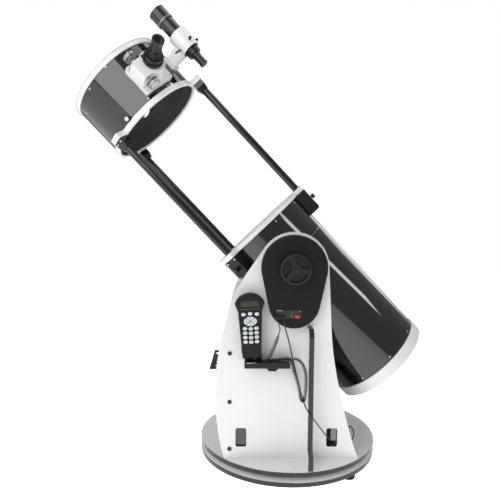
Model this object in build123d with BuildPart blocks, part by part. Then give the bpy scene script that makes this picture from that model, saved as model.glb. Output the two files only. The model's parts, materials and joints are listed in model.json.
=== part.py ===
"""Collapsible truss Newtonian telescope on a motorised rocker base, in millimetres.

Frame: +Z up, origin on the floor under the azimuth axis. The altitude axis runs along Y, and the
tube points towards -X and up. Tube parts are drawn on planes square to the optical axis, where
local X points to the tube's upper side, local Y to the far side and local Z to the sky.
"""
from build123d import *
from math import cos, pi, radians, sin, sqrt, tan
import os

os.makedirs("parts", exist_ok=True)

# ---------------------------------------------------------------- driving dimensions
board = 16.0                    # laminate board thickness
base_radius = 318.0             # both round boards
foot_height = 20.0
foot_radius = 25.0
foot_circle = 287.0             # radius of the circle through the three feet
foot_angles = (-48.0, 72.0, 192.0)
foot_recess_radius = 9.0        # around each foot's fixing screw
foot_recess_depth = 6.0
bearing_gap = 17.0              # space between ground board and turntable
pivot_radius = 8.0
bearing_bore_gap = 0.06         # radial clearance of every running fit

axis_height = 703.0             # altitude axis above the floor
rest_altitude = 46.3            # tube elevation at rest, degrees
panel_face = 222.0              # outer faces of the side panels, either side of the tube
panel_top_radius = 114.0        # round top of a side panel, about the altitude axis
panel_foot_front = -223.0
panel_foot_rear = 221.0
front_board_x = -204.5          # middle of the front board
front_board_top = 490.0
brace_x = 54.0                  # middle of each brace board
brace_depth = 61.0
brace_foot_depth = 88.0
brace_foot_height = 42.0
brace_top = 512.0

tube_radius = 177.0             # lower tube, outside
tube_wall = 2.0
tube_front = 174.0              # face of the front ring, along the optical axis
tube_rear = -498.0              # face of the rear ring
ring_proud = 5.0
ring_width = 18.0
rear_ring_width = 40.0
ring_lip = 6.0
hub_radius = 62.0
shaft_radius = 20.0
stud_radius = 12.0

strut_radius = 12.5
strut_circle = 198.0            # radius of the circle through the three strut axes
strut_angles = (0.0, 130.0, -130.0)
strut_tail = 84.0               # lower strut end at rest, along the optical axis
clamp_length = 85.0
clamp_width = 50.0
clamp_outer = 216.0             # outer face of a clamp, from the optical axis
ear_outer = 213.0
ear_width = 40.0

cage_radius = 175.0
cage_rear = 684.0
cage_front = 892.0
block_length = 36.0

mirror_radius = 152.5           # 305 mm aperture
mirror_thick = 32.0
focal_length = 1500.0
mirror_seat = -475.0            # back of the primary, along the optical axis
secondary_radius = 35.0
focus_station = 770.0           # focuser axis, along the optical axis
focus_angle = -61.0             # focuser axis around the tube, from its upper side
drawtube_radius = 29.0
finder_angle = -20.0
finder_circle = 262.0           # finder axis from the optical axis
finder_radius = 25.0

housing_depth = 40.0
housing_radius = 105.0
housing_foot_radius = 82.0
housing_foot_drop = 109.0       # centre of the round bottom below the altitude axis
housing_wall = 3.0
knob_radius = 48.0
knob_depth = 36.0

handset_top_width = 93.0
handset_neck_width = 75.0
handset_foot_width = 59.0
handset_height = 205.0
handset_depth = 30.0
handset_lean = 2.8

# ---------------------------------------------------------------- derived places
ground_top = foot_height + board
turntable_bottom = ground_top + bearing_gap
turntable_top = turntable_bottom + board
panel_inner = panel_face - board
tube_inner = tube_radius - tube_wall
tube_ring_outer = tube_radius + ring_proud
cage_ring_outer = cage_radius + ring_proud
housing_face = panel_face + housing_depth

elevation = radians(rest_altitude)
sky = Vector(-cos(elevation), 0, sin(elevation))
upper_side = Vector(sin(elevation), 0, cos(elevation))
tube_plane = Plane(origin=(0, 0, axis_height), x_dir=upper_side, z_dir=sky)
near_plane = Plane(origin=(0, -panel_face, 0), x_dir=(1, 0, 0), z_dir=(0, -1, 0))
far_plane = Plane(origin=(0, panel_face, 0), x_dir=(-1, 0, 0), z_dir=(0, 1, 0))
UP = (Align.CENTER, Align.CENTER, Align.MIN)


def write(builder, name):
    """Label a finished sub-part and write it as its own STEP file."""
    builder.part.label = name
    export_step(builder.part, f"parts/{name}.step")


def radial_plane(station, angle, distance=0.0):
    """Plane whose normal points away from the optical axis; local X is along that axis."""
    turn = radians(angle)
    far_side = Vector(0, 1, 0)
    outward = upper_side * cos(turn) + far_side * sin(turn)
    centre = Vector(0, 0, axis_height) + sky * station + outward * distance
    return Plane(origin=centre, x_dir=sky, z_dir=outward)


# ================================================================ ground
with BuildPart() as ground_board:
    with Locations((0, 0, foot_height)):
        Cylinder(base_radius, board, align=UP)
    fillet(ground_board.edges().filter_by(GeomType.CIRCLE), 1.5)
    with Locations((0, 0, foot_height)):
        Cylinder(pivot_radius, board, align=UP, mode=Mode.SUBTRACT)
write(ground_board, "ground_board")

with BuildPart() as rubber_feet:
    for angle in foot_angles:
        with Locations((foot_circle * cos(radians(angle)), foot_circle * sin(radians(angle)), 0)):
            Cone(foot_radius - 3, foot_radius, foot_height, align=UP)
    fillet(rubber_feet.edges().filter_by(GeomType.CIRCLE).group_by(Axis.Z)[0], 1.5)
    for angle in foot_angles:
        with Locations((foot_circle * cos(radians(angle)), foot_circle * sin(radians(angle)), 0)):
            Cylinder(foot_recess_radius, foot_recess_depth, align=UP, mode=Mode.SUBTRACT)
write(rubber_feet, "rubber_feet")

washer_thick = 3.0
nut_height = 12.0
with BuildPart() as azimuth_pivot_bolt:
    with Locations((0, 0, foot_height - 8)):
        Cylinder(14, 8, align=UP)
    with Locations((0, 0, foot_height)):
        Cylinder(pivot_radius, turntable_top - foot_height + 22, align=UP)
    with Locations((0, 0, turntable_top + 0.4)):
        Cylinder(22, washer_thick, align=UP)
    with BuildSketch(Plane.XY.offset(turntable_top + 0.4 + washer_thick)):
        RegularPolygon(14, 6)
    extrude(amount=nut_height)
write(azimuth_pivot_bolt, "azimuth_pivot_bolt")

gear_radius = 110.0
gear_teeth = 60
tooth_depth = 4.0
tooth_gap = 5.0
with BuildPart() as azimuth_gear:
    with BuildSketch(Plane.XY.offset(ground_top)):
        Circle(gear_radius)
        Circle(34, mode=Mode.SUBTRACT)
        with PolarLocations(gear_radius, gear_teeth):
            Rectangle(2 * tooth_depth, tooth_gap, mode=Mode.SUBTRACT)
        with PolarLocations(72, 6):
            Circle(17, mode=Mode.SUBTRACT)
    extrude(amount=8)
write(azimuth_gear, "azimuth_gear")

# ================================================================ bearing between the boards
roller_count = 16
roller_radius = bearing_gap / 2 - 0.3
roller_length = 26.0
roller_circle = 175.0
pocket_gap = 0.5
bearing_middle = ground_top + bearing_gap / 2
with BuildPart() as roller_bearing:
    with BuildSketch(Plane.XY.offset(bearing_middle - 3)):
        Circle(roller_circle + 22)
        Circle(roller_circle - 22, mode=Mode.SUBTRACT)
        with PolarLocations(roller_circle, roller_count):
            Rectangle(roller_length + 2 * pocket_gap, 2 * (roller_radius + pocket_gap),
                      mode=Mode.SUBTRACT)
    extrude(amount=6)
    for i in range(roller_count):
        turn = 2 * pi * i / roller_count
        spoke = Vector(cos(turn), sin(turn), 0)
        foot = spoke * (roller_circle - roller_length / 2) + Vector(0, 0, bearing_middle)
        with BuildSketch(Plane(origin=foot, x_dir=(0, 0, 1), z_dir=spoke)):
            Circle(roller_radius)
        extrude(amount=roller_length)
write(roller_bearing, "roller_bearing")

# ================================================================ rocker box
with BuildPart() as turntable_board:
    with Locations((0, 0, turntable_bottom)):
        Cylinder(base_radius, board, align=UP)
    fillet(turntable_board.edges().filter_by(GeomType.CIRCLE), 1.5)
    with Locations((0, 0, turntable_bottom)):
        Cylinder(pivot_radius + bearing_bore_gap, board, align=UP, mode=Mode.SUBTRACT)
write(turntable_board, "turntable_board")

# side panel: bellied front edge, flared rear edge, round top about the altitude axis
tangent_turn = radians(148.0)
front_tangent = (panel_top_radius * cos(tangent_turn),
                 axis_height + panel_top_radius * sin(tangent_turn))
rear_tangent = (panel_top_radius, axis_height)
slot_width = 36.0
slot_height = 63.0
slot_middle = 140.0
front_slot_x = -167.0
rear_slot_x = 133.0
slot_corner = 7.0


def panel_outline(side):
    """Outline of a side panel; side is 1 on the near plane and -1 on the mirrored far plane."""
    with BuildLine() as outline:
        Line((side * panel_foot_front, turntable_top), (side * panel_foot_rear, turntable_top))
        Spline((side * panel_foot_rear, turntable_top), (side * 181, 196), (side * 150, 325),
               (side * 125, 500), tangents=[(-0.38 * side, 1), (-0.06 * side, 1)])
        Line((side * 125, 500), (side * rear_tangent[0], rear_tangent[1]))
        ThreePointArc((side * rear_tangent[0], rear_tangent[1]), (0, axis_height + panel_top_radius),
                      (side * front_tangent[0], front_tangent[1]))
        Spline((side * front_tangent[0], front_tangent[1]), (side * -192, 612), (side * -225, 499),
               tangents=[(-0.53 * side, -0.85), (-0.25 * side, -1)])
        ThreePointArc((side * -225, 499), (side * -252, 275),
                      (side * panel_foot_front, turntable_top))
    make_face(outline.edges())
    with Locations((side * front_slot_x, slot_middle), (side * rear_slot_x, slot_middle)):
        RectangleRounded(slot_width, slot_height, slot_corner, mode=Mode.SUBTRACT)
    with Locations((0, axis_height)):
        Circle(shaft_radius + bearing_bore_gap, mode=Mode.SUBTRACT)


with BuildPart() as near_side_panel:
    with BuildSketch(near_plane):
        panel_outline(1)
    extrude(amount=-board)
write(near_side_panel, "near_side_panel")

with BuildPart() as far_side_panel:
    with BuildSketch(far_plane):
        panel_outline(-1)
    extrude(amount=-board)
write(far_side_panel, "far_side_panel")

front_plane = Plane(origin=(front_board_x - board / 2, 0, 0), x_dir=(0, -1, 0), z_dir=(-1, 0, 0))
handle_height = 420.0
with BuildPart() as front_board:
    with BuildSketch(front_plane):
        with Locations((0, (turntable_top + front_board_top) / 2)):
            Rectangle(2 * panel_inner, front_board_top - turntable_top)
        with Locations((0, handle_height)):
            SlotOverall(130, 36, mode=Mode.SUBTRACT)
    extrude(amount=-board)
write(front_board, "front_board")

brace_kink = turntable_top + brace_foot_height
with BuildPart() as side_braces:
    for side in (-1, 1):
        face = side * panel_face
        outer = side * (panel_face + brace_depth)
        foot = side * (panel_face + brace_foot_depth)
        with BuildSketch(Plane.YZ.offset(brace_x - board / 2)):
            with BuildLine():
                Polyline((face, turntable_top), (foot, turntable_top), (foot, brace_kink),
                         (outer, brace_kink + 18), (outer, brace_top), (face, brace_top), close=True)
            make_face()
        extrude(amount=board)
    corners = side_braces.edges().filter_by(Axis.X).group_by(Axis.Z)[-1]
    fillet(corners.filter_by(lambda edge: abs(edge.center().Y) > panel_face + 1), 24)
write(side_braces, "side_braces")

cap_heights = (422.0, 260.0, 101.0)
with BuildPart() as panel_screw_caps:
    for plane, side in ((near_plane, 1), (far_plane, -1)):
        for height in cap_heights:
            with BuildSketch(plane):
                with Locations((side * front_board_x, height)):
                    Circle(7)
            extrude(amount=2)
write(panel_screw_caps, "panel_screw_caps")

rack_height = 340.0
rack_depth = 66.0
rack_width = 240.0
small_eyepiece_bore = 31.95 / 2
large_eyepiece_bore = 51.0 / 2
with BuildPart() as eyepiece_rack:
    with BuildSketch(front_plane):
        with Locations((0, rack_height)):
            Rectangle(rack_width, 4)
        with Locations((0, rack_height - 20)):
            Rectangle(rack_width, 40)
    extrude(amount=3)
    with BuildSketch(Plane.XY.offset(rack_height - 2)):
        with Locations((front_board_x - board / 2 - rack_depth / 2, 0)):
            Rectangle(rack_depth, rack_width)
        with Locations((front_board_x - board / 2 - rack_depth / 2 - 2, -80),
                       (front_board_x - board / 2 - rack_depth / 2 - 2, -30),
                       (front_board_x - board / 2 - rack_depth / 2 - 2, 20)):
            Circle(small_eyepiece_bore, mode=Mode.SUBTRACT)
        with Locations((front_board_x - board / 2 - rack_depth / 2 - 2, 80)):
            Circle(large_eyepiece_bore, mode=Mode.SUBTRACT)
    extrude(amount=4)
write(eyepiece_rack, "eyepiece_rack")

drive_box_width = 98.0
drive_box_depth = 90.0
drive_box_height = 84.0
drive_box_x = 89.0
drive_box_y = -140.0
drive_box_side = drive_box_x + drive_box_width / 2
azimuth_port_y = -165.0
azimuth_port_z = 96.0
with BuildPart() as azimuth_drive_box:
    with Locations((drive_box_x, drive_box_y, turntable_top)):
        Box(drive_box_width, drive_box_depth, drive_box_height, align=UP)
    fillet(azimuth_drive_box.edges().filter_by(Axis.Z), 12)
    fillet(azimuth_drive_box.faces().sort_by(Axis.Z)[-1].edges(), 5)
    with BuildSketch(Plane.YZ.offset(drive_box_side)):
        with Locations((azimuth_port_y, azimuth_port_z)):
            RectangleRounded(20, 18, 3)
    extrude(amount=3)
write(azimuth_drive_box, "azimuth_drive_box")


def teardrop(top_radius, low_radius, drop):
    """Round top on the altitude axis joined by tangents to a smaller round bottom."""
    lean = (top_radius - low_radius) / drop
    side = sqrt(1 - lean * lean)
    low = axis_height - drop
    with BuildLine() as outline:
        ThreePointArc((top_radius * side, axis_height - top_radius * lean),
                      (0, axis_height + top_radius),
                      (-top_radius * side, axis_height - top_radius * lean))
        Line((-top_radius * side, axis_height - top_radius * lean),
             (-low_radius * side, low - low_radius * lean))
        ThreePointArc((-low_radius * side, low - low_radius * lean), (0, low - low_radius),
                      (low_radius * side, low - low_radius * lean))
        Line((low_radius * side, low - low_radius * lean),
             (top_radius * side, axis_height - top_radius * lean))
    make_face(outline.edges())


shaft_hole = shaft_radius + 2.0
housing_bevel = 7.0
with BuildPart() as altitude_drive_housing:
    with BuildSketch(near_plane):
        teardrop(housing_radius, housing_foot_radius, housing_foot_drop)
    extrude(amount=housing_depth)
    outer_face = altitude_drive_housing.faces().sort_by(Axis.Y)[0]
    fillet(outer_face.edges(), housing_bevel)
    with BuildSketch(near_plane):
        teardrop(housing_radius - housing_wall, housing_foot_radius - housing_wall, housing_foot_drop)
    extrude(amount=housing_depth - housing_wall, mode=Mode.SUBTRACT)
    with BuildSketch(near_plane):
        with Locations((0, axis_height)):
            Circle(shaft_hole)
    extrude(amount=housing_depth, mode=Mode.SUBTRACT)
write(altitude_drive_housing, "altitude_drive_housing")

altitude_gear_radius = 88.0
altitude_gear_seat = 8.0        # inner face of the gear, in front of the panel
altitude_gear_thick = 10.0
worm_radius = 8.0
worm_gap = 0.5
worm_height = axis_height - altitude_gear_radius - worm_gap - worm_radius
motor_width = 52.0
motor_height = 54.0
motor_depth = 33.0
with BuildPart() as altitude_motor:
    with BuildSketch(near_plane):
        with Locations((0, worm_height - worm_radius + 3 - motor_height / 2)):
            RectangleRounded(motor_width, motor_height, 4)
    extrude(amount=motor_depth)
    with BuildSketch(Plane.YZ.offset(-20)):
        with Locations((-panel_face - altitude_gear_seat - altitude_gear_thick / 2, worm_height)):
            Circle(worm_radius)
    extrude(amount=40)
write(altitude_motor, "altitude_motor")

cover_depth = 16.0
with BuildPart() as far_bearing_cover:
    with BuildSketch(far_plane):
        with Locations((0, axis_height)):
            Circle(78)
            Circle(shaft_hole, mode=Mode.SUBTRACT)
    extrude(amount=cover_depth)
    fillet(far_bearing_cover.faces().sort_by(Axis.Y)[-1].outer_wire().edges(), 5)
write(far_bearing_cover, "far_bearing_cover")

control_middle = (-18.0, 559.0)
control_width = 78.0
control_height = 26.0
control_thick = 2.0
socket_x = (-53.0, -36.0)
socket_z = 550.0
switch_x = 9.0
switch_z = 551.0
switch_width = 14.0
switch_height = 10.0
plug_width = 11.0
plug_height = 9.0
socket_depth = 6.0
socket_wall = 2.0
with BuildPart() as control_panel:
    with BuildSketch(near_plane.offset(housing_depth)):
        with Locations(control_middle):
            RectangleRounded(control_width, control_height, 4)
    extrude(amount=control_thick)
    with BuildSketch(near_plane.offset(housing_depth)):
        for x in socket_x:
            with Locations((x, socket_z)):
                RectangleRounded(plug_width + 2 * socket_wall, plug_height + 2 * socket_wall, 1.5)
    extrude(amount=socket_depth)
    with BuildSketch(near_plane.offset(housing_depth)):
        for x in socket_x:
            with Locations((x, socket_z)):
                Rectangle(plug_width, plug_height)
        with Locations((switch_x, switch_z)):
            Rectangle(switch_width + 0.8, switch_height + 0.8)
    extrude(amount=socket_depth, mode=Mode.SUBTRACT)
write(control_panel, "control_panel")

switch_tilt = radians(7.0)
switch_plane = Plane(origin=(switch_x - switch_width / 2, -(housing_face + control_thick), switch_z),
                     x_dir=(0, cos(switch_tilt), sin(switch_tilt)), z_dir=(1, 0, 0))
with BuildPart() as power_switch:
    with BuildSketch(switch_plane):
        with BuildLine():
            Polyline((1.0, -4.6), (1.0, 4.6), (-3.0, 4.4), (-1.6, 0), (-3.0, -4.4), close=True)
        make_face()
    extrude(amount=switch_width)
write(power_switch, "power_switch")

# ================================================================ handset and holder
handset_centre = (-132.4, 421.176)
handset_back = 22.0             # back of the handset in front of the panel
lean = radians(handset_lean)
handset_plane = Plane(origin=(handset_centre[0], -panel_face - handset_back, handset_centre[1]),
                      x_dir=(cos(lean), 0, sin(lean)), z_dir=(0, -1, 0))
dome_start = 174.0
neck_height = 149.0             # below the head, where the sides turn straight
back_shell_depth = 18.0
cord_exit_x = 8.396             # cord exit across the foot of the handset


def handset_outline(inset=0.0):
    """Outline with the narrow end at local zero, a neck and a wider domed head."""
    foot = handset_foot_width / 2 - inset
    neck = handset_neck_width / 2 - inset
    shoulder = handset_top_width / 2 - inset
    with BuildLine() as outline:
        Polyline((-shoulder, dome_start), (-neck, neck_height), (-foot, inset),
                 (foot, inset), (neck, neck_height), (shoulder, dome_start))
        ThreePointArc((shoulder, dome_start), (0, handset_height - inset), (-shoulder, dome_start))
    make_face(outline.edges())


with BuildPart() as handset_back_shell:
    with BuildSketch(handset_plane):
        handset_outline()
    extrude(amount=back_shell_depth)
    fillet(handset_back_shell.faces().sort_by(Axis.Y)[-1].edges(), 5)
    with BuildSketch(handset_plane.offset(3)):
        handset_outline(3)
    extrude(amount=back_shell_depth, mode=Mode.SUBTRACT)
    with BuildSketch(handset_plane.offset(back_shell_depth - plug_height)):
        with Locations((cord_exit_x, 0)):
            Rectangle(plug_width, 8)
    extrude(amount=plug_height, mode=Mode.SUBTRACT)
write(handset_back_shell, "handset_back_shell")

display_middle = 171.5
display_width = 58.0
display_height = 20.5
menu_row = 139.8
menu_columns = (-21.0, 0.0, 21.0)
menu_rise = 1.7                 # the middle key of the top row sits higher
pad_middle = 117.4
pad_half_width = 20.2
pad_half_height = 14.4
pad_gap = 2.0
number_rows = (95.2, 81.1, 67.0, 52.9)
number_columns = (-18.0, 0.0, 18.0)
number_drop = 1.2               # and the middle number of each row a little lower
key_half_width = 6.8
key_half_height = 5.2
key_gap = 0.4
key_root = back_shell_depth + 8


def number_keys_profile(grow):
    with Locations([(x, y - (0 if x else number_drop)) for y in number_rows for x in number_columns]):
        Ellipse(key_half_width + grow, key_half_height + grow)


def menu_keys_profile(grow):
    with Locations([(x, menu_row + (0 if x else menu_rise)) for x in menu_columns]):
        Ellipse(key_half_width + grow, key_half_height + grow)


with BuildPart() as handset_front_shell:
    with BuildSketch(handset_plane.offset(back_shell_depth)):
        handset_outline()
    extrude(amount=handset_depth - back_shell_depth)
    fillet(handset_front_shell.faces().sort_by(Axis.Y)[0].edges(), 4)
    with BuildSketch(handset_plane.offset(handset_depth - 2.5)):
        with Locations((0, display_middle)):
            RectangleRounded(display_width, display_height, 3)
    extrude(amount=4, mode=Mode.SUBTRACT)
    with BuildSketch(handset_plane.offset(back_shell_depth)):
        number_keys_profile(key_gap)
        menu_keys_profile(key_gap)
        with Locations((0, pad_middle)):
            Ellipse(pad_half_width + key_gap, pad_half_height + key_gap)
    extrude(amount=handset_depth, mode=Mode.SUBTRACT)
write(handset_front_shell, "handset_front_shell")

key_proud = 2.4
key_height = handset_depth - key_root + key_proud
with BuildPart() as number_keys:
    with BuildSketch(handset_plane.offset(key_root)):
        number_keys_profile(0)
    extrude(amount=key_height)
write(number_keys, "number_keys")

with BuildPart() as menu_keys:
    with BuildSketch(handset_plane.offset(key_root)):
        menu_keys_profile(0)
    extrude(amount=key_height)
write(menu_keys, "menu_keys")

for name, turn in (("key_right", 0), ("key_up", 90), ("key_left", 180), ("key_down", 270)):
    along = Vector(cos(radians(turn)), sin(radians(turn)))
    across = Vector(-along.Y, along.X)
    tip = Vector(0, pad_middle) + along * (pad_gap / 2 * 1.6)
    with BuildPart() as arrow_key:
        with BuildSketch(handset_plane.offset(key_root)):
            with Locations((0, pad_middle)):
                Ellipse(pad_half_width, pad_half_height)
            with BuildLine():
                corner_a = along * pad_half_width * 1.5 + across * pad_half_height * 1.5
                corner_b = along * pad_half_width * 1.5 - across * pad_half_height * 1.5
                if turn in (90, 270):
                    corner_a = along * pad_half_height * 1.5 + across * pad_half_width * 1.5
                    corner_b = along * pad_half_height * 1.5 - across * pad_half_width * 1.5
                Polyline((tip.X, tip.Y), (tip.X + corner_a.X, tip.Y + corner_a.Y),
                         (tip.X + corner_b.X, tip.Y + corner_b.Y), close=True)
            make_face(mode=Mode.INTERSECT)
        extrude(amount=key_height)
    write(arrow_key, name)

shelf_left = -156.0
shelf_right = -12.0
shelf_top = 396.0
shelf_thick = 6.0
shelf_depth = 60.0
shelf_lip = 12.0
back_plate_right = -101.0       # plate on the panel behind the foot of the handset
back_plate_height = 30.0
with BuildPart() as handset_holder:
    with BuildSketch(Plane.XY.offset(shelf_top - shelf_thick)):
        with Locations(((shelf_left + shelf_right) / 2, -panel_face - shelf_depth / 2)):
            Rectangle(shelf_right - shelf_left, shelf_depth)
    extrude(amount=shelf_thick)
    with BuildSketch(Plane.XY.offset(shelf_top)):
        with Locations(((shelf_left + shelf_right) / 2, -panel_face - shelf_depth + 2)):
            Rectangle(shelf_right - shelf_left, 4)
    extrude(amount=shelf_lip)
    with BuildSketch(near_plane):
        with Locations(((shelf_left + shelf_right) / 2, shelf_top - 9)):
            Rectangle(shelf_right - shelf_left, 18)
    extrude(amount=4)
    with BuildSketch(near_plane):
        with Locations(((shelf_left + back_plate_right) / 2, shelf_top + back_plate_height / 2 - 1)):
            Rectangle(back_plate_right - shelf_left, back_plate_height + 2)
    extrude(amount=3)
    with BuildSketch(handset_plane.offset(-handset_back)):
        with Locations((0, 45)):
            RectangleRounded(34, 150, 5)
    extrude(amount=4)
    with BuildSketch(handset_plane.offset(-handset_back)):
        with Locations((0, 85)):
            RectangleRounded(34, 60, 5)
    extrude(amount=handset_back)
write(handset_holder, "handset_holder")

# ================================================================ tube
with BuildPart(tube_plane) as lower_tube:
    with Locations((0, 0, tube_rear + ring_lip)):
        Cylinder(tube_radius, tube_front - tube_rear - 2 * ring_lip, align=UP)
        Cylinder(tube_inner, tube_front - tube_rear - 2 * ring_lip, align=UP, mode=Mode.SUBTRACT)
write(lower_tube, "lower_tube")

arm_count = 3
arm_circle = 112.0
screw_radius = 4.0
with BuildPart(tube_plane) as rear_ring:
    with Locations((0, 0, tube_rear)):
        Cylinder(tube_ring_outer, rear_ring_width, align=UP)
    fillet(rear_ring.edges().filter_by(GeomType.CIRCLE), 2)
    with Locations((0, 0, tube_rear + ring_lip)):
        Cylinder(tube_radius, rear_ring_width, align=UP, mode=Mode.SUBTRACT)
    with Locations((0, 0, tube_rear)):
        Cylinder(tube_inner - 8, ring_lip, align=UP, mode=Mode.SUBTRACT)
    with BuildSketch(tube_plane.offset(tube_rear)):
        with PolarLocations((arm_circle + tube_inner - 4) / 2, arm_count, start_angle=60):
            Rectangle(tube_inner - 4 - arm_circle, 34)
        with PolarLocations(arm_circle, arm_count, start_angle=60):
            Circle(17)
        with PolarLocations(arm_circle, arm_count, start_angle=60):
            Circle(screw_radius + bearing_bore_gap, mode=Mode.SUBTRACT)
    extrude(amount=ring_lip)
write(rear_ring, "rear_ring")

with BuildPart(tube_plane) as front_ring:
    with Locations((0, 0, tube_front - ring_width)):
        Cylinder(tube_ring_outer, ring_width, align=UP)
    fillet(front_ring.edges().filter_by(GeomType.CIRCLE), 2)
    for angle in strut_angles:
        with BuildSketch(tube_plane.offset(tube_front - ring_width)):
            with Locations(Location((0, 0), (0, 0, angle))):
                with Locations((ear_outer / 2 + tube_radius / 2, 0)):
                    RectangleRounded(ear_outer - tube_radius + 4, ear_width, 2)
                with Locations((strut_circle, 0)):
                    Circle(strut_radius + bearing_bore_gap, mode=Mode.SUBTRACT)
        extrude(amount=ring_width)
    with Locations((0, 0, tube_front - ring_width)):
        Cylinder(tube_radius, ring_width - ring_lip, align=UP, mode=Mode.SUBTRACT)
        Cylinder(tube_inner - 5, ring_width, align=UP, mode=Mode.SUBTRACT)
write(front_ring, "front_ring")

clamp_front = tube_front - ring_width
clamp_rear = clamp_front - clamp_length
lock_station = clamp_front - 40.0
lock_radius = 3.0
with BuildPart(tube_plane) as strut_clamps:
    for angle in strut_angles:
        with BuildSketch(tube_plane.offset(clamp_rear)):
            with Locations(Location((0, 0), (0, 0, angle))):
                with Locations(((clamp_outer + tube_radius) / 2 - 4, 0)):
                    Rectangle(clamp_outer - tube_radius + 8, clamp_width)
        extrude(amount=clamp_length)
    ends = strut_clamps.faces().sort_by(Axis(tube_plane.origin, sky))[:3]
    fillet([edge for end in ends for edge in end.edges()
            if abs((edge.center() - tube_plane.origin).cross(sky).length) > clamp_outer - 1], 9)
    with Locations((0, 0, clamp_rear)):
        Cylinder(tube_radius, clamp_length, align=UP, mode=Mode.SUBTRACT)
    for angle in strut_angles:
        with BuildSketch(tube_plane.offset(clamp_rear)):
            with Locations(Location((0, 0), (0, 0, angle))):
                with Locations((strut_circle, 0)):
                    Circle(strut_radius + bearing_bore_gap)
        extrude(amount=clamp_length, mode=Mode.SUBTRACT)
        with BuildSketch(radial_plane(lock_station, angle, strut_circle)):
            Circle(lock_radius + bearing_bore_gap)
        extrude(amount=clamp_outer, mode=Mode.SUBTRACT)
write(strut_clamps, "strut_clamps")

lock_tip = strut_circle + strut_radius + 0.4
lock_head = clamp_outer + 5.0
for number, angle in enumerate(strut_angles, 1):
    with BuildPart() as strut_lock:
        with BuildSketch(radial_plane(lock_station, angle, lock_tip)):
            Circle(lock_radius)
        extrude(amount=lock_head - lock_tip)
        with BuildSketch(radial_plane(lock_station, angle, lock_head)):
            Circle(8)
            with PolarLocations(8.6, 12):
                Circle(1.2, mode=Mode.SUBTRACT)
        extrude(amount=11)
    write(strut_lock, f"strut_lock_{number}")

near_shaft = housing_depth + 1.0
far_shaft = cover_depth + 1.0
stud_length = 24.0
with BuildPart() as altitude_hubs:
    for plane, shaft in ((near_plane, near_shaft), (far_plane, far_shaft)):
        gap = panel_inner - 1.0
        with BuildSketch(plane.offset(-board - 1.0)):
            with Locations((0, axis_height)):
                Circle(hub_radius)
        extrude(amount=-(gap - tube_radius + 12))
        with BuildSketch(plane.offset(-board - 1.0)):
            with Locations((0, axis_height)):
                Circle(shaft_radius)
        extrude(amount=board + 1.0 + shaft)
        with BuildSketch(plane.offset(shaft)):
            with Locations((0, axis_height)):
                Circle(stud_radius)
        extrude(amount=stud_length)
    with BuildSketch(tube_plane.offset(-hub_radius - 5)):
        Circle(tube_radius)
    extrude(amount=2 * hub_radius + 10, mode=Mode.SUBTRACT)
write(altitude_hubs, "altitude_hubs")

with BuildPart() as altitude_gear:
    with BuildSketch(near_plane.offset(altitude_gear_seat)):
        with Locations((0, axis_height)):
            Circle(altitude_gear_radius)
            Circle(shaft_radius, mode=Mode.SUBTRACT)
            with PolarLocations(altitude_gear_radius, 72):
                Rectangle(5, 3.6, mode=Mode.SUBTRACT)
            with PolarLocations(54, 6):
                Circle(15, mode=Mode.SUBTRACT)
    extrude(amount=altitude_gear_thick)
write(altitude_gear, "altitude_gear")

knob_gap = 1.0
knob_ring = 7.0
knob_spoke = 15.0
knob_rest_turn = 110.0
pocket_depth = 14.0
with BuildPart() as altitude_knob:
    with BuildSketch(near_plane.offset(near_shaft + knob_gap)):
        with Locations((0, axis_height)):
            Circle(knob_radius)
    extrude(amount=knob_depth)
    fillet(altitude_knob.faces().sort_by(Axis.Y)[0].edges(), 5)
    with BuildSketch(near_plane.offset(near_shaft + knob_gap + knob_depth - pocket_depth)):
        with Locations((0, axis_height)):
            Circle(knob_radius - knob_ring)
            Circle(16, mode=Mode.SUBTRACT)
            with PolarLocations(knob_radius / 2, 3, start_angle=knob_rest_turn):
                Rectangle(knob_radius, knob_spoke, mode=Mode.SUBTRACT)
    extrude(amount=pocket_depth, mode=Mode.SUBTRACT)
    with BuildSketch(near_plane.offset(near_shaft)):
        with Locations((0, axis_height)):
            Circle(stud_radius + bearing_bore_gap)
    extrude(amount=stud_length + 1.0, mode=Mode.SUBTRACT)
write(altitude_knob, "altitude_knob")

tension_radius = 34.0
with BuildPart() as tension_knob:
    with BuildSketch(far_plane.offset(far_shaft + knob_gap)):
        with Locations((0, axis_height)):
            Circle(tension_radius)
            with PolarLocations(tension_radius + 5, 8):
                Circle(9, mode=Mode.SUBTRACT)
    extrude(amount=32)
    fillet(tension_knob.faces().sort_by(Axis.Y)[-1].edges(), 3)
    with BuildSketch(far_plane.offset(far_shaft)):
        with Locations((0, axis_height)):
            Circle(stud_radius + bearing_bore_gap)
    extrude(amount=stud_length + 1.0, mode=Mode.SUBTRACT)
write(tension_knob, "tension_knob")

# primary mirror on its cell, held by three screws through the arms of the rear ring
pad_thick = 3.0
plate_thick = 8.0
plate_front = mirror_seat - pad_thick
bowl = mirror_radius ** 2 / (4 * focal_length)
with BuildPart(tube_plane) as mirror_cell:
    with BuildSketch(tube_plane.offset(plate_front - plate_thick)):
        Circle(mirror_radius)
        with PolarLocations(arm_circle, arm_count, start_angle=60):
            Circle(screw_radius + bearing_bore_gap, mode=Mode.SUBTRACT)
        with PolarLocations(92, 6, start_angle=30):
            Circle(30, mode=Mode.SUBTRACT)
    extrude(amount=plate_thick)
    with BuildSketch(tube_plane.offset(plate_front)):
        with PolarLocations(120, 3):
            Circle(14)
    extrude(amount=pad_thick)
    with BuildSketch(tube_plane.offset(plate_front - plate_thick)):
        with PolarLocations(mirror_radius + 5, 3, start_angle=0):
            Rectangle(12, 26)
    extrude(amount=plate_thick + pad_thick + mirror_thick + 3)
    with Locations((0, 0, mirror_seat)):
        Cylinder(mirror_radius + 0.5, mirror_thick, align=UP, mode=Mode.SUBTRACT)
write(mirror_cell, "mirror_cell")

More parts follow.
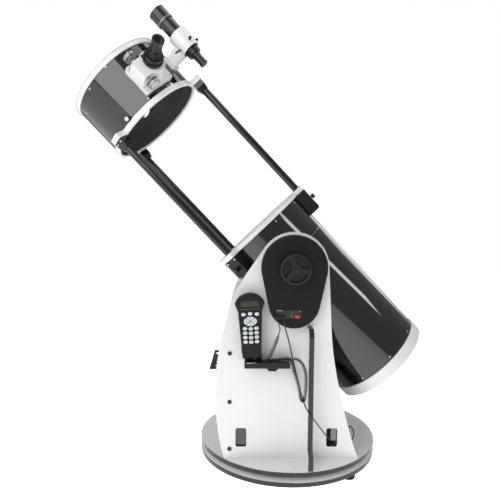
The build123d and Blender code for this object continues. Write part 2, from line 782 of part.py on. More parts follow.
with BuildPart(tube_plane) as primary_mirror:
    with Locations((0, 0, mirror_seat)):
        Cylinder(mirror_radius, mirror_thick, align=UP)
    with Locations((0, 0, mirror_seat + mirror_thick - bowl + 2 * focal_length)):
        Sphere(2 * focal_length, mode=Mode.SUBTRACT)
write(primary_mirror, "primary_mirror")

screw_head = tube_rear - 4.0
for number in range(1, arm_count + 1):
    turn = radians(60 + 120 * (number - 1))
    spot = (arm_circle * cos(turn), arm_circle * sin(turn))
    with BuildPart() as collimation_knob:
        with BuildSketch(tube_plane.offset(screw_head - 14)):
            with Locations(spot):
                Circle(14)
                with PolarLocations(15.5, 8):
                    Circle(3, mode=Mode.SUBTRACT)
        extrude(amount=14)
        with BuildSketch(tube_plane.offset(screw_head)):
            with Locations(spot):
                Circle(screw_radius)
        extrude(amount=plate_front - 1.0 - screw_head)
    write(collimation_knob, f"collimation_knob_{number}")

# ================================================================ cage
with BuildPart(tube_plane) as cage_tube:
    with Locations((0, 0, cage_rear + ring_lip)):
        Cylinder(cage_radius, cage_front - cage_rear - 2 * ring_lip, align=UP)
        Cylinder(cage_radius - tube_wall, cage_front - cage_rear - 2 * ring_lip, align=UP,
                 mode=Mode.SUBTRACT)
    with BuildSketch(radial_plane(focus_station, focus_angle)):
        Circle(drawtube_radius + 6)
    extrude(amount=cage_radius + 5, mode=Mode.SUBTRACT)
write(cage_tube, "cage_tube")

cage_lip_inner = 171.0
with BuildPart(tube_plane) as cage_front_ring:
    with Locations((0, 0, cage_front - ring_width)):
        Cylinder(cage_ring_outer, ring_width, align=UP)
    fillet(cage_front_ring.edges().filter_by(GeomType.CIRCLE), 2)
    with Locations((0, 0, cage_front - ring_width)):
        Cylinder(cage_radius, ring_width - ring_lip, align=UP, mode=Mode.SUBTRACT)
        Cylinder(cage_lip_inner, ring_width, align=UP, mode=Mode.SUBTRACT)
write(cage_front_ring, "cage_front_ring")

with BuildPart(tube_plane) as cage_rear_ring:
    with Locations((0, 0, cage_rear)):
        Cylinder(cage_ring_outer, ring_width, align=UP)
    fillet(cage_rear_ring.edges().filter_by(GeomType.CIRCLE), 2)
    for angle in strut_angles:
        with BuildSketch(tube_plane.offset(cage_rear)):
            with Locations(Location((0, 0), (0, 0, angle))):
                with Locations((ear_outer / 2 + cage_radius / 2, 0)):
                    RectangleRounded(ear_outer - cage_radius + 4, ear_width, 2)
        extrude(amount=ring_width)
    with Locations((0, 0, cage_rear + ring_lip)):
        Cylinder(cage_radius, ring_width, align=UP, mode=Mode.SUBTRACT)
    with Locations((0, 0, cage_rear)):
        Cylinder(cage_lip_inner, ring_width, align=UP, mode=Mode.SUBTRACT)
write(cage_rear_ring, "cage_rear_ring")

block_inner = 179.0
strut_top = cage_rear - 4.0
bond_gap = 0.05
with BuildPart(tube_plane) as struts:
    for angle in strut_angles:
        turned = Location((0, 0), (0, 0, angle))
        with BuildSketch(tube_plane.offset(cage_rear - block_length)):
            with Locations(turned):
                with Locations((strut_circle, 0)):
                    Rectangle(26.5, 28)
        with BuildSketch(tube_plane.offset(cage_rear - block_length / 2)):
            with Locations(turned):
                with Locations(((block_inner + ear_outer) / 2, 0)):
                    Rectangle(ear_outer - block_inner, 36)
        loft()
        with BuildSketch(tube_plane.offset(cage_rear - block_length / 2)):
            with Locations(turned):
                with Locations(((block_inner + ear_outer) / 2, 0)):
                    Rectangle(ear_outer - block_inner, 36)
        extrude(amount=block_length / 2)
        with BuildSketch(tube_plane.offset(cage_rear - block_length)):
            with Locations(turned):
                with Locations((strut_circle, 0)):
                    Circle(strut_radius + bond_gap)
        extrude(amount=strut_top + bond_gap - cage_rear + block_length, mode=Mode.SUBTRACT)
    for angle in strut_angles:
        with BuildSketch(tube_plane.offset(strut_tail)):
            with Locations(Location((0, 0), (0, 0, angle))):
                with Locations((strut_circle, 0)):
                    Circle(strut_radius)
                    Circle(strut_radius - 1.5, mode=Mode.SUBTRACT)
        extrude(amount=strut_top - strut_tail)
write(struts, "struts")

# knobs that hold the cage to its rear ring, and the small screws around both rings
cage_knob_angles = (22.0, 108.0, -110.0)
screw_stations = ((cage_front - 20.0, -62.0), (cage_front - 20.0, -119.0),
                  (cage_front - 42.0, -150.0), (cage_rear + 27.0, -48.0))
with BuildPart() as cage_fasteners:
    for angle in cage_knob_angles:
        with BuildSketch(radial_plane(cage_rear + ring_width + 8, angle, cage_radius)):
            Circle(7)
        extrude(amount=16)
    for station, angle in screw_stations:
        with BuildSketch(radial_plane(station - 6, angle, cage_radius)):
            Circle(3)
        extrude(amount=2.5)
    with BuildSketch(tube_plane.offset(cage_rear)):
        Circle(cage_radius)
    extrude(amount=cage_front - cage_rear, mode=Mode.SUBTRACT)
write(cage_fasteners, "cage_fasteners")

vane_thick = 1.2
vane_depth = 34.0
vane_station = focus_station + 46.0
holder_radius = 22.0
with BuildPart(tube_plane) as spider:
    with BuildSketch(tube_plane.offset(vane_station)):
        Circle(holder_radius)
        with PolarLocations((cage_radius - tube_wall) / 2, 4, start_angle=focus_angle + 45):
            Rectangle(cage_radius - tube_wall, vane_thick)
    extrude(amount=vane_depth)
    with Locations((0, 0, vane_station)):
        Cylinder(cage_radius - tube_wall, vane_depth, align=UP, mode=Mode.INTERSECT)
write(spider, "spider")

mirror_cut = Plane(origin=tube_plane.origin + sky * focus_station,
                   x_dir=(0, 1, 0),
                   z_dir=radial_plane(0, focus_angle).z_dir - sky)
with BuildPart(tube_plane) as secondary_mirror:
    with BuildSketch(tube_plane.offset(focus_station - 50)):
        Circle(secondary_radius)
    extrude(amount=vane_station - focus_station + 50 - 8)
    split(bisect_by=mirror_cut, keep=Keep.BOTTOM)
    with BuildSketch(tube_plane.offset(vane_station - 8)):
        Circle(9)
    extrude(amount=8)
write(secondary_mirror, "secondary_mirror")

# ---------------------------------------------------------------- focuser
focus_plane = radial_plane(focus_station, focus_angle)
body_foot = cage_radius + 14.0
collar_top = cage_radius + 66.0
plate_length = 104.0
plate_width = 112.0
shaft_side = 42.0
shaft_lift = 228.0
knob_shaft_radius = 4.0
roller_gap = 0.5
focus_roller_radius = shaft_side - drawtube_radius - roller_gap
focus_roller_length = 20.0
shaft_centre = (radial_plane(focus_station, focus_angle, shaft_lift).origin
                + radial_plane(focus_station, focus_angle).y_dir * shaft_side)


def focus_shaft_plane(distance):
    """Plane square to the focus shaft, at a distance in front of the focuser axis."""
    return Plane(origin=shaft_centre + sky * distance, x_dir=radial_plane(0, focus_angle).z_dir,
                 z_dir=sky)


with BuildPart() as focuser_base:
    with BuildSketch(focus_plane.offset(cage_radius - 30)):
        RectangleRounded(plate_length, plate_width, 8)
    extrude(amount=body_foot - cage_radius + 26)
    with BuildSketch(focus_plane.offset(body_foot - 6)):
        Circle(drawtube_radius + 10)
    extrude(amount=collar_top - body_foot + 6)
    with BuildSketch(focus_plane.offset(body_foot - 6)):
        with Locations((0, shaft_side / 2 + 9)):
            RectangleRounded(62, shaft_side + 18, 6)
    extrude(amount=shaft_lift + 15 - body_foot + 6)
    with BuildSketch(tube_plane.offset(cage_rear)):
        Circle(cage_radius)
    extrude(amount=cage_front - cage_rear, mode=Mode.SUBTRACT)
    with BuildSketch(focus_plane):
        Circle(drawtube_radius + bearing_bore_gap)
    extrude(amount=collar_top + 10, mode=Mode.SUBTRACT)
    with BuildSketch(focus_shaft_plane(-60)):
        Circle(knob_shaft_radius + bearing_bore_gap)
    extrude(amount=120, mode=Mode.SUBTRACT)
    with BuildSketch(focus_shaft_plane(-focus_roller_length / 2 - 1)):
        Circle(focus_roller_radius + 0.7)
    extrude(amount=focus_roller_length + 2, mode=Mode.SUBTRACT)
write(focuser_base, "focuser_base")

drawtube_foot = cage_radius - 8.0
drawtube_top = cage_radius + 84.0
adapter_top = drawtube_top + 16.0
with BuildPart() as focuser_drawtube:
    with BuildSketch(focus_plane.offset(drawtube_foot)):
        Circle(drawtube_radius)
        Circle(drawtube_radius - 3, mode=Mode.SUBTRACT)
    extrude(amount=drawtube_top - drawtube_foot)
    with BuildSketch(focus_plane.offset(drawtube_top - 10)):
        Circle(drawtube_radius + 2.5)
        Circle(drawtube_radius - 3, mode=Mode.SUBTRACT)
    extrude(amount=10)
    with BuildSketch(focus_plane.offset(drawtube_top)):
        Circle(drawtube_radius - 1)
        Circle(small_eyepiece_bore, mode=Mode.SUBTRACT)
    extrude(amount=adapter_top - drawtube_top)
write(focuser_drawtube, "focuser_drawtube")

eyepiece_barrel = 31.75 / 2
with BuildPart() as eyepiece:
    with BuildSketch(focus_plane.offset(adapter_top - 24)):
        Circle(eyepiece_barrel)
        Circle(eyepiece_barrel - 2, mode=Mode.SUBTRACT)
    extrude(amount=24)
    for start, end, radius in ((0, 12, 21.0), (12, 24, 19.0), (24, 52, 16.5)):
        with BuildSketch(focus_plane.offset(adapter_top + start)):
            Circle(radius)
        extrude(amount=end - start)
    with BuildSketch(focus_plane.offset(adapter_top + 52)):
        Circle(17.5)
        Circle(12.5, mode=Mode.SUBTRACT)
    extrude(amount=16)
write(eyepiece, "eyepiece")

focus_knob_reach = 60.0
focus_knob_thick = 16.0
with BuildPart() as focus_knobs:
    with BuildSketch(focus_shaft_plane(-focus_knob_reach)):
        Circle(knob_shaft_radius)
    extrude(amount=2 * focus_knob_reach)
    with BuildSketch(focus_shaft_plane(-focus_roller_length / 2)):
        Circle(focus_roller_radius)
    extrude(amount=focus_roller_length)
    for start in (-focus_knob_reach, focus_knob_reach - focus_knob_thick):
        with BuildSketch(focus_shaft_plane(start)):
            Circle(20)
            with PolarLocations(21, 20):
                Circle(1.8, mode=Mode.SUBTRACT)
        extrude(amount=focus_knob_thick)
write(focus_knobs, "focus_knobs")

# ---------------------------------------------------------------- finder
finder_plane = Plane(origin=radial_plane(0, finder_angle, finder_circle).origin,
                     x_dir=radial_plane(0, finder_angle).z_dir, z_dir=sky)
bracket_rear = 753.0
bracket_front = 821.0
bracket_radius = 33.0
bracket_bore = 29.5
stem_station = 775.0
shoe_top = cage_radius + 12.0
with BuildPart() as finder_shoe:
    with BuildSketch(radial_plane(stem_station, finder_angle, cage_radius - 10)):
        Rectangle(46, 40)
    extrude(amount=22)
    with BuildSketch(radial_plane(stem_station, finder_angle, shoe_top - 8)):
        Rectangle(46, 24)
    extrude(amount=8, mode=Mode.SUBTRACT)
    with BuildSketch(tube_plane.offset(cage_rear)):
        Circle(cage_radius)
    extrude(amount=cage_front - cage_rear, mode=Mode.SUBTRACT)
write(finder_shoe, "finder_shoe")

with BuildPart() as finder_bracket:
    with BuildSketch(finder_plane.offset(bracket_rear)):
        Circle(bracket_radius)
    extrude(amount=bracket_front - bracket_rear)
    with BuildSketch(radial_plane(stem_station, finder_angle, shoe_top)):
        Rectangle(34, 20)
    with BuildSketch(radial_plane(stem_station, finder_angle, finder_circle - bracket_radius + 12)):
        Rectangle(44, 34)
    loft()
    with BuildSketch(radial_plane(stem_station, finder_angle, shoe_top - 8)):
        Rectangle(44, 24)
    extrude(amount=8)
    with BuildSketch(finder_plane.offset(bracket_rear)):
        Circle(bracket_bore)
    extrude(amount=bracket_front - bracket_rear, mode=Mode.SUBTRACT)
write(finder_bracket, "finder_bracket")

with BuildPart() as finder_scope:
    for start, end, radius in ((874, 919, 28.0), (800, 874, finder_radius), (806, 811, bracket_bore),
                               (760, 800, 20.0), (733, 760, 23.0), (688, 733, 13.0)):
        with BuildSketch(finder_plane.offset(start)):
            Circle(radius)
        extrude(amount=end - start)
    with BuildSketch(finder_plane.offset(919)):
        Circle(25.5)
    extrude(amount=-22, mode=Mode.SUBTRACT)
    for turn in (45, -45, 180):
        direction = Vector(cos(radians(turn)), sin(radians(turn)))
        pin = Plane(origin=finder_plane.offset(770).origin
                    + finder_plane.x_dir * (18 * direction.X) + finder_plane.y_dir * (18 * direction.Y),
                    x_dir=sky,
                    z_dir=finder_plane.x_dir * direction.X + finder_plane.y_dir * direction.Y)
        with BuildSketch(pin):
            Circle(2.5)
        extrude(amount=bracket_bore - 18 - 0.4)
write(finder_scope, "finder_scope")


# ================================================================ cords
def cord_route(points):
    """Straight runs joined by tangent arcs, each as large as its two runs allow."""
    corners = [Vector(*point) for point in points]
    radii = []
    for before, here, after in zip(corners, corners[1:], corners[2:]):
        turn = radians((here - before).get_angle(after - here))
        shorter = min((here - before).length, (after - here).length)
        radii.append(0.45 * shorter / tan(turn / 2))
    print("cord arcs", [round(radius, 1) for radius in radii])
    return FilletPolyline(*points, radius=radii)


plug_length = 16.0
plug_end = -(housing_face + plug_length)
lead_radius = 2.0
coil_radius = 6.0
lead_points = [(socket_x[0], plug_end, socket_z), (-53, -287.5, 550), (-52.4, -296, 543.5),
               (-50.5, -299, 533), (-45.6, -295.9, 518.1), (-50, -291.5, 503)]
coil_points = [(-50, -291.5, 503), (-57, -284.5, 479), (-66, -279, 453), (-76, -276, 429),
               (-88, -273, 411), (-98, -268, 402.9), (-99, -252.5, 402.6), (-84, -246, 402.6),
               (-58, -250, 402.8), (-28, -258, 404), (-3, -266, 421), (20, -274, 415),
               (34, -280, 388), (38, -283, 355), (36, -284, 321), (33, -283, 289), (28, -270, 281),
               (23, -257, 289), (19, -254, 318), (11, -251, 347), (1, -248, 373), (-1, -243, 396),
               (-17, -237, 413), (-38, -233, 405.5), (-62, -231.8, 402.8), (-86, -231.5, 402.7),
               (-106, -236, 402.8)]
end_points = [(-106, -236, 402.8), (-115.5, -239.5, 402.2), (-122.5, -247, 400.8),
              (-123.6, -254.5, 401.3), (-123.27, -257.5, 406.3), (-123.51, -257.5, 411.2)]
cable_points = [(socket_x[1], plug_end, socket_z), (-36, -287.5, 550), (-35.3, -295.5, 543.5),
                (-31.5, -295.5, 526), (-24, -279, 499), (-15, -254, 470), (-6, -236, 430),
                (4, -229.5, 388), (15, -229.7, 345), (24, -236, 308), (33, -259, 277),
                (40, -284, 261), (53, -294, 244), (69, -290, 222), (87, -264, 192),
                (107, -241, 161), (124, -226, 137), (140, -211, 119), (155, -197, 120),
                (169, -190, 138), (183, -187, 161), (203, -187, 165), (215, -189, 145),
                (209, -189, 116), (190, -178, 98), (171, -165, 96), (155, -165, 96)]
with BuildPart() as handset_cord:
    swept_volume = 0
    for points, radius in ((lead_points, lead_radius), (coil_points, coil_radius),
                           (end_points, lead_radius)):
        with BuildLine() as cord_line:
            stretch = cord_route(points)
        with BuildSketch(Plane(origin=stretch @ 0, z_dir=stretch % 0)):
            Circle(radius)
        sweep(path=cord_line.line)
        swept_volume += pi * radius ** 2 * stretch.length
        print("handset cord stretch", round(stretch.length, 1))
write(handset_cord, "handset_cord")
print("handset cord volume", handset_cord.part.volume, "from its sections", swept_volume)

with BuildPart() as azimuth_cable:
    with BuildLine() as cable_line:
        cable = cord_route(cable_points)
    with BuildSketch(Plane(origin=cable @ 0, z_dir=cable % 0)):
        Circle(lead_radius)
    sweep(path=cable_line.line)
write(azimuth_cable, "azimuth_cable")
print("azimuth cable volume", azimuth_cable.part.volume, "from its section",
      pi * lead_radius ** 2 * cable.length, "length", round(cable.length, 1))

plug_play = 0.3
with BuildPart() as cord_plugs:
    for x in socket_x:
        with BuildSketch(near_plane.offset(housing_depth + plug_play)):
            with Locations((x, socket_z)):
                Rectangle(plug_width - 2 * plug_play, plug_height - 2 * plug_play)
        extrude(amount=plug_length - plug_play)
    with BuildSketch(handset_plane.offset(back_shell_depth - plug_height + plug_play)):
        with Locations((cord_exit_x, -3 - plug_play)):
            Rectangle(plug_width - 2 * plug_play, 14)
    extrude(amount=plug_height - 2 * plug_play)
    with BuildSketch(Plane.YZ.offset(drive_box_side + 3)):
        with Locations((azimuth_port_y, azimuth_port_z)):
            Rectangle(plug_height, plug_width)
    extrude(amount=14)
write(cord_plugs, "cord_plugs")
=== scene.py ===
"""Looks of a collapsible truss Newtonian telescope on a motorised rocker base.

Every length is in metres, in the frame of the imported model: Z up, the altitude axis along Y and the
tube pointing towards -X and up at rest.
"""
import json
from math import asin, cos, pi, radians, sin

import bmesh
import bpy
from mathutils import Matrix, Vector


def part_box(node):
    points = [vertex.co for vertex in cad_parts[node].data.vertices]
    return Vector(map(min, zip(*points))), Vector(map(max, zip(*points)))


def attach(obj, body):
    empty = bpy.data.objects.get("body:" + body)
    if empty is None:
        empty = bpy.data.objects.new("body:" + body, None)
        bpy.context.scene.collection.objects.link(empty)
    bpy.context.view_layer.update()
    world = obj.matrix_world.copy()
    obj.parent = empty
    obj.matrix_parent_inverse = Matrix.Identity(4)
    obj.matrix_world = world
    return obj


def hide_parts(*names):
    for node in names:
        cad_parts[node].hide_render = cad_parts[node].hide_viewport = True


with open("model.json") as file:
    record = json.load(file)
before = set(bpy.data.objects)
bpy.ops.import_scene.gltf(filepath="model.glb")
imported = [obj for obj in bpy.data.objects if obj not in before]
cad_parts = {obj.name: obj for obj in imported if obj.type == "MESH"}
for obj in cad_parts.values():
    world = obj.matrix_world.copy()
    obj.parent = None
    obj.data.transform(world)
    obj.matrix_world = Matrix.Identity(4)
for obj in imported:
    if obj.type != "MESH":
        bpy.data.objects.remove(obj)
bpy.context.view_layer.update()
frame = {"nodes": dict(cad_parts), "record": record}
nodes = frame["nodes"]
joints = {joint["name"]: joint for joint in frame["record"]["behaviour"]["joints"]}

# ---------------------------------------------------------------- places taken from the frame
AXIS = Vector(joints["altitude"]["pos_m"])
SKY = -Vector(joints["truss_slide"]["axis"])
FAR = Vector((0, 1, 0))
UPPER = FAR.cross(SKY)
NEAR_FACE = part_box("near_side_panel")[0][1]
HOUSING_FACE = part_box("altitude_drive_housing")[0][1]
TUBE_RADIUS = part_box("lower_tube")[1][1]
CAGE_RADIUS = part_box("cage_tube")[1][1]
RING_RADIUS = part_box("rear_ring")[1][1]
MM = 0.001
STRUT_ANGLES = (0, 130, -130)
STRUT_DISTANCE = 0.198          # from the optical axis to the middle of a strut
CELL_ANGLES = (60, 180, 300)


def on_tube(station, angle, radius, side=0.0):
    """Point beside the optical axis; the angle turns from the tube's upper side to the far side."""
    turn = radians(angle)
    out = UPPER * cos(turn) + FAR * sin(turn)
    tangent = FAR * cos(turn) - UPPER * sin(turn)
    return AXIS + SKY * station + out * radius + tangent * side


def outward(angle):
    """Direction away from the optical axis at an angle."""
    return UPPER * cos(radians(angle)) + FAR * sin(radians(angle))


# ---------------------------------------------------------------- camera, light and floor
def add_camera():
    """Camera at the photograph's viewpoint."""
    yaw = radians(0.8919)
    pitch = radians(4.9412)
    roll = radians(-0.4791)
    forward = Vector((sin(yaw) * cos(pitch), cos(yaw) * cos(pitch), -sin(pitch)))
    right = Vector((cos(yaw), -sin(yaw), 0))
    down = forward.cross(right)
    right, down = right * cos(roll) + down * sin(roll), down * cos(roll) - right * sin(roll)
    data = bpy.data.cameras.new("camera")
    data.sensor_width = 36.0
    data.lens = 35.053
    data.shift_x = -0.01816
    data.shift_y = 0.02873
    data.clip_start = 0.05
    camera = bpy.data.objects.new("camera", data)
    bpy.context.collection.objects.link(camera)
    axes = Matrix((right, -down, -forward)).transposed().to_4x4()
    camera.matrix_world = Matrix.Translation((-0.13593, -1.77178, 0.84648)) @ axes
    bpy.context.scene.camera = camera


def add_softbox(name, place, target, along, size, radiance):
    """Rectangular light facing a target; its longer side runs along a direction."""
    data = bpy.data.lights.new(name, "AREA")
    data.shape = "RECTANGLE"
    data.size, data.size_y = size
    data.energy = radiance * pi * size[0] * size[1]
    light = bpy.data.objects.new(name, data)
    bpy.context.collection.objects.link(light)
    back = (Vector(place) - Vector(target)).normalized()
    across = (Vector(along) - back * Vector(along).dot(back)).normalized()
    axes = Matrix((across, back.cross(across), back)).transposed().to_4x4()
    light.matrix_world = Matrix.Translation(place) @ axes


# name, place, target, direction of the longer side, size, radiance
SOFTBOXES = (
    ("key", (-1.25, -1.85, 1.72), (-0.3, 0, 0.9), (0.77, 0, 0.64), (2.1, 1.5), 2.6),
    ("right", (2.45, -1.15, 2.3), (0.1, 0, 0.75), (1.0, 0.83, -0.77), (1.5, 0.36), 6.0),
    ("top", (0.2, 0.3, 3.4), (0, 0, 0.3), (1, 0, 0), (2.6, 2.2), 1.3),
    ("back", (1.9, 2.6, 1.6), (0, 0, 0.8), (1, 0, 0), (1.4, 1.4), 1.5),
)
WORLD_LIGHT = 0.30              # what the white surround gives; the camera sees it at 1
FLOOR_WIDTH = 14
FLOOR_GLOW = 0.80


def add_studio():
    """White surround, softboxes and a pale floor."""
    world = bpy.data.worlds.new("studio")
    bpy.context.scene.world = world
    world.use_nodes = True
    tree = world.node_tree
    background = tree.nodes["Background"]
    background.inputs["Color"].default_value = (1, 1, 1, 1)
    path = tree.nodes.new("ShaderNodeLightPath")
    strength = ramp(tree, path.outputs["Is Camera Ray"], WORLD_LIGHT, 1.0)
    tree.links.new(strength, background.inputs["Strength"])
    for softbox in SOFTBOXES:
        add_softbox(*softbox)
    bpy.ops.mesh.primitive_plane_add(size=FLOOR_WIDTH, location=(0, 0, 0))
    floor = bpy.context.object
    floor.name = "studio_floor"
    made, tree, bsdf = shader("floor_white")
    place = tree.nodes.new("ShaderNodeTexCoord").outputs["Object"]
    drift = noise_node(tree, place, 2.0)
    tree.links.new(mix_colour(tree, drift, (0.92, 0.92, 0.92), (0.95, 0.95, 0.95)),
                   bsdf.inputs["Base Color"])
    bsdf.inputs["Roughness"].default_value = 0.7
    bsdf.inputs["Emission Color"].default_value = (1, 1, 1, 1)
    bsdf.inputs["Emission Strength"].default_value = FLOOR_GLOW
    floor.data.materials.append(made)


# ---------------------------------------------------------------- materials
materials = {}
BUMP_DEPTH = 0.0005


def shader(name):
    """A new material with its node tree and principled shader."""
    made = bpy.data.materials.new(name)
    made.use_nodes = True
    materials[name] = made
    tree = made.node_tree
    return made, tree, tree.nodes["Principled BSDF"]


def noise_node(tree, coordinates, scale, detail=3.0):
    """Noise over coordinates, as a value from 0 to 1."""
    node = tree.nodes.new("ShaderNodeTexNoise")
    node.inputs["Scale"].default_value = scale
    node.inputs["Detail"].default_value = detail
    node.inputs["Roughness"].default_value = 0.5
    tree.links.new(coordinates, node.inputs["Vector"])
    return node.outputs["Fac"]


def ramp(tree, value, low, high):
    """Value of 0 to 1 spread between two limits."""
    node = tree.nodes.new("ShaderNodeMapRange")
    node.inputs["To Min"].default_value = low
    node.inputs["To Max"].default_value = high
    tree.links.new(value, node.inputs["Value"])
    return node.outputs["Result"]


def mix_colour(tree, factor, first, second):
    """Blend of two colours, each a tuple or a socket."""
    node = tree.nodes.new("ShaderNodeMix")
    node.data_type = "RGBA"
    for socket, value in ((node.inputs[6], first), (node.inputs[7], second)):
        if isinstance(value, tuple):
            socket.default_value = (*value, 1)
        else:
            tree.links.new(value, socket)
    tree.links.new(factor, node.inputs[0])
    return node.outputs[2]


def add_bump(tree, bsdf, height, strength):
    """Fine relief of a surface from a height value."""
    node = tree.nodes.new("ShaderNodeBump")
    node.inputs["Strength"].default_value = strength
    node.inputs["Distance"].default_value = BUMP_DEPTH
    tree.links.new(height, node.inputs["Height"])
    tree.links.new(node.outputs["Normal"], bsdf.inputs["Normal"])


def surface(name, colour, rough, metal=0.0, bump=0.15, grain=900.0, spread=0.08, coat=0.0,
            shine=0.5):
    """Finish with fine grain in its height, a little uneven gloss and a slow colour drift."""
    if name in materials:
        return materials[name]
    made, tree, bsdf = shader(name)
    place = tree.nodes.new("ShaderNodeTexCoord").outputs["Object"]
    slow = noise_node(tree, place, 6.0)
    fine = noise_node(tree, place, grain, 2.0)
    dark = tuple(channel * (1 - spread) for channel in colour)
    light = tuple(min(1.0, channel * (1 + spread)) for channel in colour)
    tree.links.new(mix_colour(tree, slow, dark, light), bsdf.inputs["Base Color"])
    tree.links.new(ramp(tree, noise_node(tree, place, 35.0), rough * 0.85, min(1.0, rough * 1.15)),
                   bsdf.inputs["Roughness"])
    bsdf.inputs["Metallic"].default_value = metal
    bsdf.inputs["Specular IOR Level"].default_value = shine
    bsdf.inputs["Coat Weight"].default_value = coat
    bsdf.inputs["Coat Roughness"].default_value = 0.04
    if bump:
        add_bump(tree, bsdf, fine, bump)
    return made


def laminate(name, axis):
    """White laminate on the faces square to one axis, and glossy black edge band elsewhere."""
    made, tree, bsdf = shader(name)
    coordinates = tree.nodes.new("ShaderNodeTexCoord")
    split = tree.nodes.new("ShaderNodeSeparateXYZ")
    tree.links.new(coordinates.outputs["Normal"], split.inputs["Vector"])
    along = tree.nodes.new("ShaderNodeMath")
    along.operation = "ABSOLUTE"
    tree.links.new(split.outputs[axis], along.inputs[0])
    face = tree.nodes.new("ShaderNodeMath")
    face.operation = "GREATER_THAN"
    face.inputs[1].default_value = 0.85
    tree.links.new(along.outputs[0], face.inputs[0])
    place = coordinates.outputs["Object"]
    slow = noise_node(tree, place, 3.0)
    white = mix_colour(tree, slow, (0.80, 0.81, 0.80), (0.86, 0.865, 0.855))
    speckle = noise_node(tree, place, 60.0)
    black = mix_colour(tree, speckle, (0.010, 0.011, 0.012), (0.022, 0.023, 0.025))
    tree.links.new(mix_colour(tree, face.outputs[0], black, white), bsdf.inputs["Base Color"])
    tree.links.new(ramp(tree, face.outputs[0], 0.13, 0.36), bsdf.inputs["Roughness"])
    add_bump(tree, bsdf, noise_node(tree, place, 700.0, 2.0), 0.06)
    return made


def tube_paint(name):
    """Gloss black outside, matt black inside, told apart by which way the wall faces."""
    made, tree, bsdf = shader(name)
    coordinates = tree.nodes.new("ShaderNodeTexCoord")
    centre = tree.nodes.new("ShaderNodeVectorMath")
    centre.operation = "SUBTRACT"
    tree.links.new(coordinates.outputs["Object"], centre.inputs[0])
    centre.inputs[1].default_value = AXIS
    dot = tree.nodes.new("ShaderNodeVectorMath")
    dot.operation = "DOT_PRODUCT"
    tree.links.new(centre.outputs["Vector"], dot.inputs[0])
    tree.links.new(coordinates.outputs["Normal"], dot.inputs[1])
    outside = tree.nodes.new("ShaderNodeMath")
    outside.operation = "GREATER_THAN"
    outside.inputs[1].default_value = 0.02
    tree.links.new(dot.outputs["Value"], outside.inputs[0])
    place = coordinates.outputs["Object"]
    slow = noise_node(tree, place, 4.0)
    gloss = mix_colour(tree, slow, (0.0035, 0.0035, 0.004), (0.007, 0.006, 0.0055))
    matt = mix_colour(tree, slow, (0.012, 0.013, 0.012), (0.022, 0.023, 0.021))
    tree.links.new(mix_colour(tree, outside.outputs[0], matt, gloss), bsdf.inputs["Base Color"])
    tree.links.new(ramp(tree, outside.outputs[0], 0.75, 0.07), bsdf.inputs["Roughness"])
    bsdf.inputs["Specular IOR Level"].default_value = 1.0
    add_bump(tree, bsdf, noise_node(tree, place, 260.0, 2.0), 0.02)
    return made


